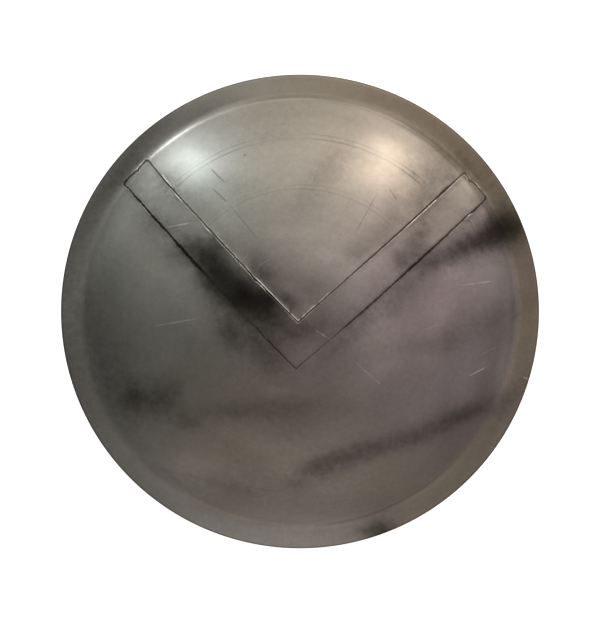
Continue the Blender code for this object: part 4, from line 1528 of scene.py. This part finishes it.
# %% The back of the sheet
back_steel = Finish("back_steel")
back_clouds = back_steel.clouds(0.11, detail=4.0, roughness=0.55, seed=1.5)
back_mottle = back_steel.clouds(0.018, detail=4.0, roughness=0.6, seed=7.5)
back_rings = back_steel.rings(back_steel.radius(), 0.0022, detail=3.0, seed=4.0)
back_bands = back_steel.rings(back_steel.radius(), 0.016, detail=2.0, seed=14.0)
back_tone = (1.0 + back_clouds * 0.10 + back_mottle * 0.07 + back_rings * 0.05
             + back_bands * 0.05)
BACK_GROUND = (0.250, 0.245, 0.232)
BACK_STAIN = (0.155, 0.135, 0.115)
BACK_RELIEF = 0.06 * MILLIMETRE
FACING_DOWN = -0.2
back_colour = back_steel.blend(back_clouds.rise(0.1, 1.6) * 0.55, BACK_GROUND, BACK_STAIN)
back_steel.bump(back_rings * 0.6 + back_mottle * 0.4, 0.4, BACK_RELIEF)
back_steel.show(Base_Color=back_steel.lit(back_colour, back_tone), Metallic=1.0,
                Roughness=0.44 + back_mottle * 0.03 + back_clouds * 0.02)

shield.data.materials.append(back_steel.material)
for face in shield.data.polygons:
    face.material_index = 1 if face.normal.z < FACING_DOWN else 0
print("back steel on", sum(face.material_index for face in shield.data.polygons), "faces")

# %% Strap and bar
fitting_steel = Finish("fitting_steel")
scale_clouds = fitting_steel.clouds(0.03, detail=5.0, roughness=0.6, seed=2.0)
scale_grain = fitting_steel.clouds(0.0022, detail=3.0, roughness=0.7, seed=3.0)
drawn = fitting_steel.clouds(0.0018, detail=2.0, stretch=(1.0, 0.05, 0.05), seed=6.0)
MILL_STEEL = (0.215, 0.213, 0.208)
WORN_STEEL = (0.360, 0.350, 0.335)
FITTING_RELIEF = 0.05 * MILLIMETRE
edge_wear = Amount(fitting_steel.node("ShaderNodeNewGeometry").outputs["Pointiness"])
worn_share = (edge_wear.rise(0.52, 0.60) * 0.7 + scale_clouds.rise(0.5, 1.8) * 0.35).least(1.0)
fitting_colour = fitting_steel.lit(
    fitting_steel.blend(worn_share, MILL_STEEL, WORN_STEEL),
    1.0 + scale_clouds * 0.10 + scale_grain * 0.06 + drawn * 0.05)
fitting_steel.bump(scale_grain + drawn, 0.4, FITTING_RELIEF)
fitting_steel.show(Base_Color=fitting_colour, Metallic=1.0,
                   Roughness=0.45 + scale_clouds * 0.04 - worn_share * 0.10)

# %% Weld metal
weld_steel = Finish("weld_steel")
heat = weld_steel.clouds(0.012, detail=3.0, seed=1.0)
STRAW = (0.330, 0.265, 0.175)
BLUE_HEAT = (0.130, 0.150, 0.205)
weld_colour = weld_steel.blend(heat.rise(-0.6, 0.9), STRAW, BLUE_HEAT)
weld_steel.show(Base_Color=weld_steel.lit(weld_colour, 1.0 + heat * 0.12), Metallic=1.0,
                Roughness=0.40 + heat * 0.05)

for piece, finish in ((arm_strap, fitting_steel), (hand_bar, fitting_steel),
                      *((bead, weld_steel) for bead in beads)):
    piece.data.materials.clear()
    piece.data.materials.append(finish.material)
print("finishes:", [material.name for material in bpy.data.materials])

# %% [markdown]
# ## Floor and light
#
# A pale floor and soft light. One cool lamp low on the upper left and a warmer one on
# the upper right give the face its two soft highlights, and a grey studio all round
# lights the rest.

# %% Floor
FLOOR_SIZE = 12.0
FLOOR_COLOUR = (0.80, 0.82, 0.84, 1.0)
FLOOR_GLOW = 0.85
WHITE = (1.0, 1.0, 1.0, 1.0)
bpy.ops.mesh.primitive_plane_add(size=FLOOR_SIZE)
floor = bpy.context.active_object
floor.name = "pale_floor"
floor_paint = Finish("floor_paint")
floor_paint.show(Base_Color=FLOOR_COLOUR, Roughness=0.9, Emission_Color=WHITE,
                 Emission_Strength=FLOOR_GLOW)
floor.data.materials.append(floor_paint.material)

# %% Lamps
# name, degrees round from the right, degrees up, size in metres, power in watts, colour
LAMPS = [("cool_lamp", 130.1, 32.6, 0.30, 4.1, (0.95, 1.0, 0.98)),
         ("warm_lamp", 57.5, 39.8, 0.46, 5.0, (1.0, 0.78, 0.60))]
LAMP_DISTANCE = 2.2


def direction(azimuth, elevation):
    """The way to a light: degrees round from the right, and degrees up."""
    turn, up = math.radians(azimuth), math.radians(elevation)
    return Vector((math.cos(up) * math.cos(turn), math.cos(up) * math.sin(turn), math.sin(up)))


for name, azimuth, elevation, size, power, colour in LAMPS:
    towards = direction(azimuth, elevation).normalized()
    bpy.ops.object.light_add(type="AREA", location=towards * LAMP_DISTANCE)
    lamp = bpy.context.active_object
    lamp.name = name
    lamp.data.size = size
    lamp.data.energy = power
    lamp.data.color = colour
    lamp.rotation_euler = towards.to_track_quat("Z", "Y").to_euler()
print("lamps:", [name for name, *_ in LAMPS])

# %% The studio round it
# azimuth and elevation of each soft panel, and its light in red, green and blue
PANELS = [
    (90, 62, (0.62, 0.64, 0.50)), (30, 62, (0.42, 0.25, 0.29)),
    (90, 35, (0.91, 0.76, 0.60)), (150, 35, (0.34, 0.36, 0.32)),
    (210, 35, (0.154, 0.158, 0.126)), (270, 35, (0.61, 0.51, 0.41)),
    (330, 35, (0.315, 0.253, 0.286)), (30, 35, (0.61, 0.53, 0.42)),
]
PANEL_SPREAD = 0.10
STUDIO_GREY = (0.022, 0.019, 0.022)

studio = Finish("studio", "worlds", "Background", "Generated")
light = STUDIO_GREY
for azimuth, elevation, colour in PANELS:
    facing = studio.node("ShaderNodeVectorMath", {"operation": "DOT_PRODUCT"},
                         {0: studio.place, 1: direction(azimuth, elevation)})
    glow = ((Amount(facing.outputs["Value"]) - 1.0) / PANEL_SPREAD).exponential()
    light = studio.node("ShaderNodeVectorMath", {"operation": "ADD"},
                        {0: studio.lit(colour, glow), 1: light}).outputs["Vector"]
studio.show(Color=light)
bpy.context.scene.world = studio.material
bpy.context.scene.view_settings.view_transform = "Standard"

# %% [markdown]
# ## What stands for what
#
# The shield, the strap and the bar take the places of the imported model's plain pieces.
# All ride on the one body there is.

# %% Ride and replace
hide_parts("shell")
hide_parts("arm_band")
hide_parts("hand_grip")
for piece in (shield, arm_strap, hand_bar, *beads):
    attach(piece, "root")
